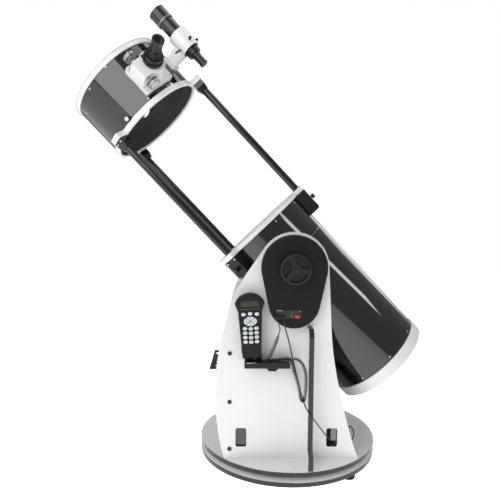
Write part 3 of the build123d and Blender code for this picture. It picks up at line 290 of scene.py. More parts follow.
def paint_nodes():
    """Give every node of the model its finish."""
    white = surface("white_enamel", (0.80, 0.80, 0.78), 0.34, bump=0.12, grain=500, coat=0.3)
    case = surface("black_case", (0.005, 0.005, 0.0055), 0.5, bump=0.35, grain=1400, shine=0.25)
    casting = surface("black_casting", (0.006, 0.006, 0.007), 0.4, bump=0.4, grain=600, shine=0.35)
    rubber = surface("foot_rubber", (0.008, 0.008, 0.008), 0.75, bump=0.4, grain=1500, shine=0.3)
    knob = surface("knob_black", (0.008, 0.008, 0.009), 0.36, bump=0.3, grain=1200, shine=0.4)
    anodised = surface("strut_black", (0.005, 0.005, 0.006), 0.16, bump=0.05, shine=0.6)
    steel = surface("black_steel", (0.007, 0.007, 0.008), 0.42, bump=0.4, grain=1100, shine=0.35)
    zinc = surface("zinc_steel", (0.55, 0.55, 0.53), 0.35, metal=1.0, bump=0.15)
    chrome = surface("chrome", (0.78, 0.79, 0.8), 0.12, metal=1.0, bump=0.03)
    keys = surface("key_rubber", (0.66, 0.72, 0.69), 0.5, bump=0.15, grain=1500)
    looks = {
        "ground_board": laminate("ground_laminate", 2),
        "turntable_board": laminate("turntable_laminate", 2),
        "near_side_panel": laminate("side_laminate", 1),
        "far_side_panel": materials["side_laminate"],
        "front_board": laminate("cross_laminate", 0),
        "side_braces": materials["cross_laminate"],
        "rubber_feet": rubber, "azimuth_pivot_bolt": zinc,
        "azimuth_gear": surface("gear_plastic", (0.06, 0.06, 0.06), 0.5),
        "roller_bearing": surface("roller_plastic", (0.45, 0.45, 0.42), 0.5),
        "panel_screw_caps": surface("screw_cap", (0.012, 0.012, 0.014), 0.3),
        "eyepiece_rack": steel, "handset_holder": steel, "spider": steel,
        "azimuth_drive_box": case, "altitude_drive_housing": case, "far_bearing_cover": case,
        "control_panel": surface("socket_plastic", (0.012, 0.013, 0.013), 0.35, bump=0.25),
        "altitude_motor": surface("motor_grey", (0.25, 0.25, 0.26), 0.4, metal=0.6),
        "altitude_gear": surface("gear_brass", (0.62, 0.45, 0.18), 0.3, metal=1.0),
        "power_switch": surface("red_switch", (0.62, 0.02, 0.03), 0.3, bump=0.05, coat=0.4),
        "handset_back_shell": surface("handset_black", (0.006, 0.006, 0.007), 0.45, bump=0.3,
                                      grain=1600, shine=0.3),
        "handset_front_shell": materials["handset_black"],
        "number_keys": keys, "menu_keys": keys,
        "key_up": keys, "key_down": keys, "key_left": keys, "key_right": keys,
        "cord_plugs": surface("plug_plastic", (0.02, 0.02, 0.022), 0.3, bump=0.1),
        "lower_tube": tube_paint("tube_paint"), "cage_tube": materials["tube_paint"],
        "front_ring": white, "rear_ring": white, "cage_front_ring": white, "cage_rear_ring": white,
        "strut_clamps": casting, "altitude_hubs": casting, "mirror_cell": casting,
        "altitude_knob": knob, "tension_knob": knob,
        "primary_mirror": surface("mirror_coating", (0.88, 0.89, 0.92), 0.02, metal=1.0, bump=0.0,
                                  spread=0.01),
        "secondary_mirror": materials["mirror_coating"],
        "struts": anodised, "cage_fasteners": chrome,
        "focuser_base": white, "finder_shoe": white, "finder_bracket": white,
        "focuser_drawtube": surface("drawtube_black", (0.012, 0.012, 0.014), 0.25, bump=0.1),
        "focus_knobs": surface("knob_metal", (0.30, 0.31, 0.32), 0.3, metal=0.8, bump=0.2),
        "eyepiece": surface("eyepiece_black", (0.014, 0.015, 0.018), 0.3, bump=0.12),
        "finder_scope": surface("finder_black", (0.014, 0.015, 0.016), 0.2, bump=0.06, coat=0.2),
    }
    for number in (1, 2, 3):
        looks[f"collimation_knob_{number}"] = knob
        looks[f"strut_lock_{number}"] = knob
    for name, look in looks.items():
        nodes[name].data.materials.clear()
        nodes[name].data.materials.append(look)


# ---------------------------------------------------------------- mesh helpers
def piece(name, bm, look, body, smooth=True):
    """Turn a bmesh into an object that rides on a body."""
    bmesh.ops.recalc_face_normals(bm, faces=bm.faces)
    mesh = bpy.data.meshes.new(name)
    bm.to_mesh(mesh)
    bm.free()
    made = bpy.data.objects.new(name, mesh)
    bpy.context.collection.objects.link(made)
    mesh.materials.append(look)
    if smooth:
        mesh.shade_smooth()
        mesh.set_sharp_from_angle(angle=radians(35))
    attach(made, body)
    return made


def frame_at(place, normal):
    """Matrix whose Z is the normal, placed at a point."""
    z = Vector(normal).normalized()
    x = z.orthogonal()
    x = (x - z * x.dot(z)).normalized()
    y = z.cross(x)
    return Matrix.Translation(place) @ Matrix((x, y, z)).transposed().to_4x4()


def lathe(bm, profile, place, normal, steps=40):
    """Turn a profile of (radius, height) points about a normal through a point."""
    at = frame_at(place, normal)
    rings = []
    for radius, height in profile:
        if radius < 1e-6:
            rings.append([bm.verts.new(at @ Vector((0, 0, height)))])
            continue
        rings.append([bm.verts.new(at @ Vector((radius * cos(2 * pi * i / steps),
                                                radius * sin(2 * pi * i / steps), height)))
                      for i in range(steps)])
    for low, high in zip(rings, rings[1:]):
        for i in range(steps):
            j = (i + 1) % steps
            corners = [low[i % len(low)], low[j % len(low)],
                       high[j % len(high)], high[i % len(high)]]
            unique = list(dict.fromkeys(corners))
            if len(unique) > 2:
                bm.faces.new(unique)


def screw_head(bm, place, normal, radius, height):
    """Domed screw head with a round recess."""
    lathe(bm, [(radius, 0), (radius * 0.96, height * 0.5), (radius * 0.7, height * 0.9),
               (radius * 0.3, height), (radius * 0.28, height * 0.55), (0, height * 0.5)],
          place, normal, 20)


# ---------------------------------------------------------------- cords
COIL_WIRE = 1.6 * MM            # radius of the wire in the curly cord
COIL_MIDDLE = 4.3 * MM          # radius of the curl at the middle of the wire
COIL_PITCH = 6.4 * MM
COIL_START = 58 * MM            # length of the straight lead before the curls
COIL_END = 42 * MM              # and after them
COIL_EASE = 22 * MM             # over which the curls open out
TURN_STEPS = 12
LEAD_STEPS = 14
CABLE_RADIUS = 2.0 * MM
lead_points = [(-53, -278, 550), (-53, -287.5, 550), (-52.4, -296, 543.5), (-50.5, -299, 533),
               (-45.6, -295.9, 518.1), (-50, -291.5, 503)]
coil_points = [(-57, -284.5, 479), (-66, -279, 453), (-76, -276, 429), (-88, -273, 411),
               (-98, -268, 402.9), (-99, -252.5, 402.6), (-84, -246, 402.6), (-58, -250, 402.8),
               (-28, -258, 404), (-3, -266, 421), (20, -274, 415), (34, -280, 388), (38, -283, 355),
               (36, -284, 321), (33, -283, 289), (28, -270, 281), (23, -257, 289), (19, -254, 318),
               (11, -251, 347), (1, -248, 373), (-1, -243, 396), (-17, -237, 413),
               (-38, -233, 405.5),
               (-62, -231.8, 402.8), (-86, -231.5, 402.7), (-106, -236, 402.8)]
end_points = [(-115.5, -239.5, 402.2), (-122.5, -247, 400.8), (-123.6, -254.5, 401.3),
              (-123.27, -257.5, 406.3), (-123.51, -257.5, 411.2)]
cable_points = [(-36, -278, 550), (-36, -287.5, 550), (-35.3, -295.5, 543.5), (-31.5, -295.5, 526),
                (-24, -279, 499), (-15, -254, 470), (-6, -236, 430), (4, -229.5, 388),
                (15, -229.7, 345), (24, -236, 308), (33, -259, 277), (40, -284, 261),
                (53, -294, 244), (69, -290, 222), (87, -264, 192), (107, -241, 161),
                (124, -226, 137), (140, -211, 119), (155, -197, 120), (169, -190, 138),
                (183, -187, 161), (203, -187, 165), (215, -189, 145), (209, -189, 116),
                (190, -178, 98), (171, -165, 96), (155, -165, 96)]


def spline_curve(name, points, radius):
    """Curve of one open NURBS spline through control points in metres."""
    data = bpy.data.curves.new(name, "CURVE")
    data.dimensions = "3D"
    data.resolution_u = 12
    data.bevel_depth = radius
    data.bevel_resolution = 4
    data.use_fill_caps = True
    spline = data.splines.new("NURBS")
    spline.points.add(len(points) - 1)
    for point, place in zip(spline.points, points):
        point.co = (*place, 1)
    spline.order_u = 3
    spline.use_endpoint_u = True
    made = bpy.data.objects.new(name, data)
    bpy.context.collection.objects.link(made)
    return made


def read_route(points):
    """Points along the smooth line of a route, and the distance along it to each."""
    scratch = spline_curve("route", points, 0.0)
    mesh = bpy.data.meshes.new_from_object(scratch)
    places = [vertex.co.copy() for vertex in mesh.vertices]
    bpy.data.objects.remove(scratch)
    bpy.data.meshes.remove(mesh)
    distances = [0.0]
    for before, here in zip(places, places[1:]):
        distances.append(distances[-1] + (here - before).length)
    return places, distances


def along_route(places, distances, distance):
    """Point and direction at a distance along a route."""
    for i in range(1, len(places)):
        if distances[i] >= distance or i == len(places) - 1:
            run = places[i] - places[i - 1]
            share = (distance - distances[i - 1]) / max(run.length, 1e-9)
            return places[i - 1] + run * min(share, 1.0), run.normalized()


def curly_cord():
    """Handset cord: a straight lead, the curls and a short lead into the handset's foot."""
    route = [Vector(point) * MM for point in lead_points + coil_points + end_points]
    places, distances = read_route(route)
    start = COIL_START
    stop = distances[-1] - COIL_END
    turns = (stop - start) / COIL_PITCH
    points = []
    side = Vector((1, 0, 0))
    samples = int(turns * TURN_STEPS)
    for i in range(LEAD_STEPS):
        points.append(along_route(places, distances, start * i / LEAD_STEPS)[0])
    for i in range(samples + 1):
        distance = start + (stop - start) * i / samples
        place, direction = along_route(places, distances, distance)
        side = (side - direction * side.dot(direction)).normalized()
        up = direction.cross(side)
        swell = min(1.0, (distance - start) / COIL_EASE, (stop - distance) / COIL_EASE)
        radius = COIL_MIDDLE * swell * swell * (3 - 2 * swell)
        turn = 2 * pi * i / TURN_STEPS
        points.append(place + side * (radius * cos(turn)) + up * (radius * sin(turn)))
    for i in range(1, LEAD_STEPS + 1):
        distance = stop + (distances[-1] - stop) * i / LEAD_STEPS
        points.append(along_route(places, distances, distance)[0])
    cord = spline_curve("curly_cord", points, COIL_WIRE)
    cord.data.resolution_u = 2
    cord.data.bevel_resolution = 2
    cord.data.materials.append(surface("cord_black", (0.012, 0.012, 0.013), 0.38, bump=0.1))
    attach(cord, "rocker")
    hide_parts("handset_cord")


def drive_cable():
    """Thin cable from the control sockets to the azimuth drive behind the panel."""
    points = [Vector(point) * MM for point in cable_points]
    cable = spline_curve("drive_cable", points, CABLE_RADIUS)
    cable.data.materials.append(surface("cable_black", (0.014, 0.014, 0.015), 0.4, bump=0.05))
    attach(cable, "rocker")
    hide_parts("azimuth_cable")
    places, distances = read_route(points)


# ---------------------------------------------------------------- handset details
HANDSET_LEAN = radians(2.8)
HANDSET_FOOT = Vector((-132.4, -244.0, 421.18))


def on_handset(x, y, depth):
    """Point on the handset from its own axes in millimetres."""
    across = Vector((cos(HANDSET_LEAN), 0, sin(HANDSET_LEAN)))
    along = Vector((-sin(HANDSET_LEAN), 0, cos(HANDSET_LEAN)))
    return (HANDSET_FOOT + across * x + along * y + Vector((0, -1, 0)) * depth) * MM


def slab(bm, corners, depth, thick, place):
    """Prism of a flat outline between two depths of a placing function."""
    low = [bm.verts.new(place(x, y, depth)) for x, y in corners]
    high = [bm.verts.new(place(x, y, depth + thick)) for x, y in corners]
    bm.faces.new(low)
    bm.faces.new(high)
    for i in range(len(corners)):
        j = (i + 1) % len(corners)
        bm.faces.new((low[i], low[j], high[j], high[i]))


def rounded(x0, y0, x1, y1, radius, steps=5):
    """Corners of a rectangle with round corners."""
    middle = ((x1 - radius, y1 - radius, 0), (x0 + radius, y1 - radius, 90),
              (x0 + radius, y0 + radius, 180), (x1 - radius, y0 + radius, 270))
    corners = []
    for x, y, start in middle:
        for i in range(steps + 1):
            turn = radians(start + 90 * i / steps)
            corners.append((x + radius * cos(turn), y + radius * sin(turn)))
    return corners


KEY_TOP = 32.4
NUMBER_ROWS = (95.2, 81.1, 67.0, 52.9)
NUMBER_COLUMNS = (-18.0, 0.0, 18.0)
NUMBER_DROP = 1.2
MENU_ROW = 139.8
MENU_COLUMN = 21
MENU_RISE = 1.7
PAD_MIDDLE = 117.4
ARROW_PLACE = (13.0, 9.2)       # across and along from the middle of the pad
MARK_SIZE = 8.0
HEAD_RIBS = (151.5, 3.6, 6)     # first, spacing and count up the side
FOOT_RIBS = (16, 4.2, 5)


def add_text(bm, text, x, y, size, place, depth):
    """Flat characters centred on a point."""
    data = bpy.data.curves.new("characters", "FONT")
    data.body = text
    data.size = size
    data.extrude = 0.05
    data.align_x = "CENTER"
    data.align_y = "CENTER"
    scratch = bpy.data.objects.new("characters", data)
    bpy.context.collection.objects.link(scratch)
    mesh = bpy.data.meshes.new_from_object(scratch)
    for vertex in mesh.vertices:
        vertex.co = place(x + vertex.co.x, y + vertex.co.y, depth + vertex.co.z)
    bm.from_mesh(mesh)
    bpy.data.objects.remove(scratch)
    bpy.data.meshes.remove(mesh)


def handset_details():
    """Marks on the keys, the display, and the ribs and seam of the handset's case."""
    ink = surface("key_ink", (0.03, 0.035, 0.035), 0.6, bump=0.0)
    bm = bmesh.new()
    for row, digits in zip(NUMBER_ROWS, ("123", "456", "789", "-0+")):
        for x, digit in zip(NUMBER_COLUMNS, digits):
            drop = 0 if x else NUMBER_DROP
            add_text(bm, digit, x, row - drop, MARK_SIZE, on_handset, KEY_TOP)
    piece("number_marks", bm, ink, "number_keys", smooth=False)
    bm = bmesh.new()
    for x, mark in ((-MENU_COLUMN, "<"), (0, "="), (MENU_COLUMN, ">")):
        rise = 0 if x else MENU_RISE
        add_text(bm, mark, x, MENU_ROW + rise, MARK_SIZE, on_handset, KEY_TOP)
    piece("menu_marks", bm, ink, "menu_keys", smooth=False)
    for name, x, y in (("up", 0, 1), ("down", 0, -1), ("left", -1, 0), ("right", 1, 0)):
        bm = bmesh.new()
        centre = (x * ARROW_PLACE[0], PAD_MIDDLE + y * ARROW_PLACE[1])
        corners = [(centre[0] + 2.6 * x, centre[1] + 2.6 * y),
                   (centre[0] - 1.6 * x - 2.6 * y, centre[1] - 1.6 * y + 2.6 * x),
                   (centre[0] - 1.6 * x + 2.6 * y, centre[1] - 1.6 * y - 2.6 * x)]
        slab(bm, corners, KEY_TOP, 0.06, on_handset)
        piece("arrow_" + name, bm, ink, "key_" + name, smooth=False)
    glass = surface("display_glass", (0.030, 0.032, 0.008), 0.12, bump=0.0, spread=0.25)
    bm = bmesh.new()
    slab(bm, rounded(-28.4, 161.8, 28.4, 181.2, 2.6), 27.6, 0.9, on_handset)
    piece("display_glass", bm, glass, "rocker", smooth=False)
    frame_look = surface("display_frame", (0.02, 0.021, 0.022), 0.3, bump=0.1)
    bm = bmesh.new()
    for x0, y0, x1, y1 in ((-28, 162.2, 28, 163.6), (-28, 179.4, 28, 180.8),
                           (-28, 162.2, -25.4, 180.8), (25.4, 162.2, 28, 180.8)):
        slab(bm, [(x0, y0), (x1, y0), (x1, y1), (x0, y1)], 28.45, 0.35, on_handset)
    piece("display_frame", bm, frame_look, "rocker", smooth=False)
    line = surface("grey_line", (0.17, 0.18, 0.18), 0.4, bump=0.05)
    bm = bmesh.new()
    slab(bm, rounded(-31, 155.0, 31, 156.0, 0.45), 29.95, 0.35, on_handset)
    piece("handset_line", bm, line, "rocker", smooth=False)
    ribs = bmesh.new()
    for side in (-1, 1):
        for i in range(HEAD_RIBS[2]):
            y = HEAD_RIBS[0] + HEAD_RIBS[1] * i
            edge = 37.5 + 9.0 * (y - 149) / 25
            corners = rounded(side * edge - 1.5, y - 0.8, side * edge + 0.7, y + 0.8, 0.7, 3)
            slab(ribs, corners, 5.0, 21.0, on_handset)
        for i in range(FOOT_RIBS[2]):
            y = FOOT_RIBS[0] + FOOT_RIBS[1] * i
            edge = 29.5 + 8.0 * y / 149
            corners = rounded(side * edge - 1.4, y - 0.8, side * edge + 0.5, y + 0.8, 0.6, 3)
            slab(ribs, corners, 6.0, 18.0, on_handset)
    piece("handset_ribs", ribs, materials["handset_black"], "rocker")
    seam = bmesh.new()
    outline = [(-46.7, 174), (-37.7, 149), (-29.7, 0.6), (29.7, 0.6), (37.7, 149), (46.7, 174)]
    for (xa, ya), (xb, yb) in zip(outline, outline[1:]):
        corners = [(xa, ya), (xb, yb), (xb * 0.985, yb + 0.3), (xa * 0.985, ya + 0.3)]
        slab(seam, corners, 17.6, 0.8, on_handset)
    piece("handset_seam", seam, frame_look, "rocker", smooth=False)


# ---------------------------------------------------------------- holder, panel and housing details
def on_near(x, z, depth):
    """Point on the near side from millimetres: across, up and out towards the viewer."""
    return Vector((x * MM, NEAR_FACE - depth * MM, z * MM))


def screws(name, body, look, places, radius, height):
    """Screw heads of one size, at (place, normal) pairs."""
    bm = bmesh.new()
    for place, normal in places:
        screw_head(bm, place, normal, radius * MM, height * MM)
    return piece(name, bm, look, body)


def holder_details():
    """Wedge, painted highlight along the lip, and screws of the handset's holder."""
    steel = materials["black_steel"]
    bm = bmesh.new()
    corners = [(-92, 389.5), (-41, 389.5), (-55, 371), (-78, 371)]
    slab(bm, corners, 0.2, 26, on_near)
    piece("holder_gusset", bm, steel, "rocker", smooth=False)
    # thin bright steel strip along the top of the lip: a painted highlight where light catches the
    # edge
    highlight_strip = surface("painted_edge_highlight", (0.42, 0.42, 0.41), 0.32, metal=1.0, bump=0.3)
    bm = bmesh.new()
    slab(bm, [(-149, 405.6), (-118, 407.9), (-118, 408.5), (-149, 408.5)], 60.02, 0.25, on_near)
    piece("holder_painted_highlight", bm, highlight_strip, "rocker", smooth=False)
    zinc = materials["zinc_steel"]
    places = [(on_near(x, 384, 4.0), (0, -1, 0)) for x in (-145, -24)]
    screws("holder_screws", "rocker", zinc, places, 3.6, 2.0)


def housing_outline(grow):
    """Outline of the drive housing, grown by a little, as points across and up."""
    top, low, drop = 105.0 + grow, 82.0 + grow, 109.0
    axis = AXIS.z / MM
    lean = (top - low) / drop
    from_angle = -asin(lean)
    points = []
    for i in range(49):
        turn = from_angle + (pi - 2 * from_angle) * i / 48
        points.append((top * cos(turn), axis + top * sin(turn)))
    for i in range(33):
        turn = pi - from_angle + (pi + 2 * from_angle) * i / 32
        points.append((low * cos(turn), axis - drop + low * sin(turn)))
    return points


def ring_band(bm, outline, depth, thick, place):
    """Thin band that follows a closed outline, square to it."""
    rings = [[bm.verts.new(place(x, y, d)) for x, y in outline] for d in (depth, depth + thick)]
    for i in range(len(outline)):
        j = (i + 1) % len(outline)
        bm.faces.new((rings[0][i], rings[0][j], rings[1][j], rings[1][i]))


PANEL_DEPTH = 42.05             # from the side panel to the control panel's face


def housing_details():
    """Marks, lamp, screw and silver line of the control panel, and the seam of the housing."""
    chrome = materials["chrome"]
    mark = surface("power_mark", (0.30, 0.14, 0.13), 0.5, bump=0.0)
    steps = 14
    bm = bmesh.new()
    for i in range(steps):
        start = radians(120 + 300 * i / steps)
        stop = radians(120 + 300 * (i + 1) / steps)
        corners = [(-8 + r * cos(t), 554 + r * sin(t)) for r, t in
                   ((3.1, start), (4.0, start), (4.0, stop), (3.1, stop))]
        slab(bm, corners, PANEL_DEPTH, 0.2, on_near)
    slab(bm, [(-8.5, 554.5), (-7.5, 554.5), (-7.5, 559.3), (-8.5, 559.3)], PANEL_DEPTH, 0.2,
         on_near)
    piece("power_mark", bm, mark, "rocker", smooth=False)
    bm = bmesh.new()
    slab(bm, rounded(-57, 570.2, -37, 571.6, 0.6), PANEL_DEPTH, 0.4, on_near)
    silver = surface("edge_silver", (0.5, 0.51, 0.52), 0.3, metal=0.8)
    piece("panel_edge_line", bm, silver, "rocker", smooth=False)
    lamp = surface("lamp_red", (0.30, 0.03, 0.03), 0.25, bump=0.0)
    bm = bmesh.new()
    lathe(bm, [(2.2 * MM, 0), (2.1 * MM, 0.8 * MM), (1.2 * MM, 1.3 * MM), (0, 1.5 * MM)],
          on_near(-8, 566.5, 42.0), (0, -1, 0), 20)
    piece("power_lamp", bm, lamp, "rocker")
    screws("control_screws", "rocker", chrome, [(on_near(17.5, 568.5, 42.0), (0, -1, 0))], 1.5, 1.0)
    seam = bmesh.new()
    ring_band(seam, housing_outline(0.25), 3.0, 1.1, on_near)
    shadow = surface("seam_shadow", (0.002, 0.002, 0.002), 0.8, bump=0.0)
    piece("housing_seam", seam, shadow, "rocker", smooth=False)


# ---------------------------------------------------------------- tube and cage details
def hoop(bm, station, radius, width, thick, steps=360):
    """Flat band round the optical axis."""
    rings = []
    for distance, across in ((radius, 0), (radius + thick, 0), (radius + thick, width),
                             (radius, width)):
        rings.append([bm.verts.new(on_tube(station + across, 360 * i / steps, distance))
                      for i in range(steps)])
    for k in range(4):
        near, far = rings[k], rings[(k + 1) % 4]
        for i in range(steps):
            j = (i + 1) % steps
            bm.faces.new((near[i], near[j], far[j], far[i]))


def around(station, radius, angles):
    """Places and normals at angles round the optical axis."""
    return [(on_tube(station, angle, radius), outward(angle)) for angle in angles]


def tube_details():
    """Painted shade lines at the grooves of the rings, the seam hoop, and the screws of the tube and
    the cage.
    """
    chrome = materials["chrome"]
    # thin dark bands near the front edges of the rings: painted shade of the groove and lip there
    line = surface("painted_groove_shade", (0.03, 0.03, 0.03), 0.6, bump=0.0)
    for name, body, station, radius in (("front_shade_line", "tube", 0.1705, RING_RADIUS),
                                        ("cage_front_shade_line", "cage", 0.8885, CAGE_RADIUS + 0.005)):
        bm = bmesh.new()
        hoop(bm, station, radius - 0.0006, 0.0008, 0.00075)
        piece(name, bm, line, body)
    bm = bmesh.new()
    hoop(bm, 0.026, TUBE_RADIUS, 0.0013, 0.0007)
    piece("tube_seam_hoop", bm, chrome, "tube")
    places = around(-0.448, TUBE_RADIUS, range(-160, 200, 40))
    places += around(0.146, TUBE_RADIUS, (-70, -30, 40, 90, 170, -170))
    places += around(0.0266, TUBE_RADIUS + 0.0006, (-32, 148))
    screws("tube_screws", "tube", chrome, places, 3.0, 2.0)
    places = around(0.872, CAGE_RADIUS, (-90, -30, 30, 75, 120, 165))
    places += around(0.711, CAGE_RADIUS, (-80, 60, 165))
    screws("cage_screws", "cage", chrome, places, 3.0, 2.0)


def grip(bm, place, normal, radius, height, teeth, depth):
    """Knob with a scalloped rim and a dished face."""
    at = frame_at(place, normal)
    steps = teeth * 6
    rings = []
    for share, up in ((1.0, 0.0), (1.0, 0.8), (0.92, 1.0), (0.55, 0.96)):
        ring = []
        for i in range(steps):
            turn = 2 * pi * i / steps
            wave = depth * max(0.0, cos(teeth * turn)) * (1 if up < 0.9 else 0)
            reach = radius * share - wave
            corner = Vector((reach * cos(turn), reach * sin(turn), height * up))
            ring.append(bm.verts.new(at @ corner))
        rings.append(ring)
    for low, high in zip(rings, rings[1:]):
        for i in range(steps):
            j = (i + 1) % steps
            bm.faces.new((low[i], low[j], high[j], high[i]))
    centre = bm.verts.new(at @ Vector((0, 0, height * 0.94)))
    for i in range(steps):
        bm.faces.new((rings[-1][i], rings[-1][(i + 1) % steps], centre))


KNOB_STATION = 0.710
KNOB_ANGLES = (22, 108, -110)


def cage_knobs():
    """Black grips with a chrome screw on the knobs that fasten the cage."""
    knob = materials["knob_black"]
    chrome = materials["chrome"]
    for number, angle in enumerate(KNOB_ANGLES, 1):
        bm = bmesh.new()
        place = on_tube(KNOB_STATION, angle, CAGE_RADIUS + 0.004)
        profile = [(7.4 * MM, 0), (8.6 * MM, 0.5 * MM), (8.6 * MM, 9 * MM), (7.6 * MM, 9.8 * MM),
                   (7.4 * MM, 0)]
        lathe(bm, profile, place, outward(angle), 24)
        piece(f"cage_knob_grip_{number}", bm, knob, "cage")
        screws(f"cage_knob_screw_{number}", "cage", chrome,
               around(KNOB_STATION, CAGE_RADIUS + 0.0158, (angle,)), 3.2, 1.2)


# ---------------------------------------------------------------- focuser and finder details
FOCUS_STATION = 0.770
FOCUS_ANGLE = -61.0
PLATE_TOP = 189                 # millimetres from the optical axis


def on_focuser(sky_mm, side_mm, radius_mm):
    """Point from the focuser axis: along the tube, to the side and away from the optical axis."""
    return on_tube(FOCUS_STATION + sky_mm * MM, FOCUS_ANGLE, radius_mm * MM, side_mm * MM)


def focuser_rings(name, body, look, rings):
    """Rings about the focuser axis, each from its profile of radius and distance."""
    bm = bmesh.new()
    for profile in rings:
        lathe(bm, [(radius * MM, height * MM) for radius, height in profile], on_focuser(0, 0, 0),
              outward(FOCUS_ANGLE), 48)
    return piece(name, bm, look, body)


def band(radius, low, high, proud=0.8):
    """Closed profile of a raised band with chamfered corners."""
    return [(radius - 0.3, low), (radius + proud * 0.6, low), (radius + proud, low + 0.4),
            (radius + proud, high - 0.4), (radius + proud * 0.6, high), (radius - 0.3, high)]


def focuser_details():
    """Screws, collar, rings, ribs, thumbscrews and knob faces of the focuser and the eyepiece."""
    white = materials["white_enamel"]
    chrome = materials["chrome"]
    eyepiece = materials["eyepiece_black"]
    knob = materials["knob_black"]
    places = [(on_focuser(x, y, PLATE_TOP), outward(FOCUS_ANGLE))
              for x in (-44, 44) for y in (-48, 48)]
    screws("focuser_corner_screws", "cage", chrome, places, 3.4, 2.0)
    dark = surface("dark_screw", (0.03, 0.03, 0.032), 0.3, metal=0.6, bump=0.1)
    places = [(on_focuser(x, y, PLATE_TOP), outward(FOCUS_ANGLE))
              for x, y in ((-30, -46), (-14, -47), (-40, -30), (14, -47), (32, -44), (-44, -12),
                           (44, -14), (44, 12))]
    screws("focuser_plate_screws", "cage", dark, places, 2.4, 1.6)
    focuser_rings("focuser_collar", "cage", white,
                  [[(38.8, PLATE_TOP), (46, PLATE_TOP), (45.5, 193), (42.5, 199), (39.6, 206),
                    (38.8, 212)],
                   [(38.8, 231), (40.6, 232), (40.6, 240.6), (38.8, 241.4)]])
    focuser_rings("drawtube_rings", "drawtube", materials["drawtube_black"],
                  [band(31.5, 250, 252.2), band(31.5, 254, 258.6, 0.6), band(28, 262, 264.5),
                   band(28, 267, 272, 0.5)])
    ribs = [band(21, 275.8 + 3.0 * i, 277.6 + 3.0 * i, 0.6) for i in range(4)]
    ribs += [band(19, 289 + 3.2 * i, 290.8 + 3.2 * i, 0.6) for i in range(3)]
    ribs += [band(16.5, 301 + 4.6 * i, 304.2 + 4.6 * i, 0.7) for i in range(5)]
    ribs += [[(17.4, 327), (18.4, 329), (18.2, 338), (18.9, 342), (17.8, 343.4), (15.5, 343.2),
              (13.2, 340)]]
    focuser_rings("eyepiece_ribs", "drawtube", eyepiece, ribs)
    bm = bmesh.new()
    lathe(bm, [(12.4 * MM, 341.2 * MM), (12.4 * MM, 331 * MM), (0, 331 * MM)],
          on_focuser(0, 0, 0), outward(FOCUS_ANGLE), 40)
    piece("eyepiece_lens", bm, surface("lens_glass", (0.01, 0.012, 0.03), 0.03, bump=0.0, coat=1.0),
          "drawtube")
    across = outward(FOCUS_ANGLE + 90)
    for number, turn in enumerate((-60, 60), 1):
        bm = bmesh.new()
        side = (SKY * cos(radians(turn)) + across * sin(radians(turn))).normalized()
        start = on_focuser(0, 0, 267) + side * 0.0275
        lathe(bm, [(1.6 * MM, 0), (1.6 * MM, 5 * MM)], start, side, 16)
        grip(bm, start + side * 0.005, side, 0.0042, 0.007, 10, 0.0005)
        piece(f"eyepiece_thumbscrew_{number}", bm, knob, "drawtube")
    shaft = Vector(joints["focus_knob_turn"]["pos_m"])
    face = surface("knob_face", (0.62, 0.63, 0.64), 0.28, metal=1.0, bump=0.2)
    for number, sign in enumerate((-1, 1), 1):
        bm = bmesh.new()
        grip(bm, shaft + SKY * sign * 0.0595, SKY * sign, 0.0150, 0.0020, 24, 0.0003)
        piece(f"focus_knob_face_{number}", bm, face, "focus_knobs")
    bm = bmesh.new()
    rim = [(20.2 * MM, 0), (20.6 * MM, 0.6 * MM), (20.6 * MM, 3.4 * MM), (20.2 * MM, 4 * MM)]
    for start in (0.0455, -0.0495):
        lathe(bm, rim, shaft + SKY * start, SKY, 40)
    piece("focus_knob_rims", bm, knob, "focus_knobs")


FINDER_ANGLE = -20.0
FINDER_DISTANCE = 0.262
FINDER_START = 700              # station in millimetres that the turned profiles start from


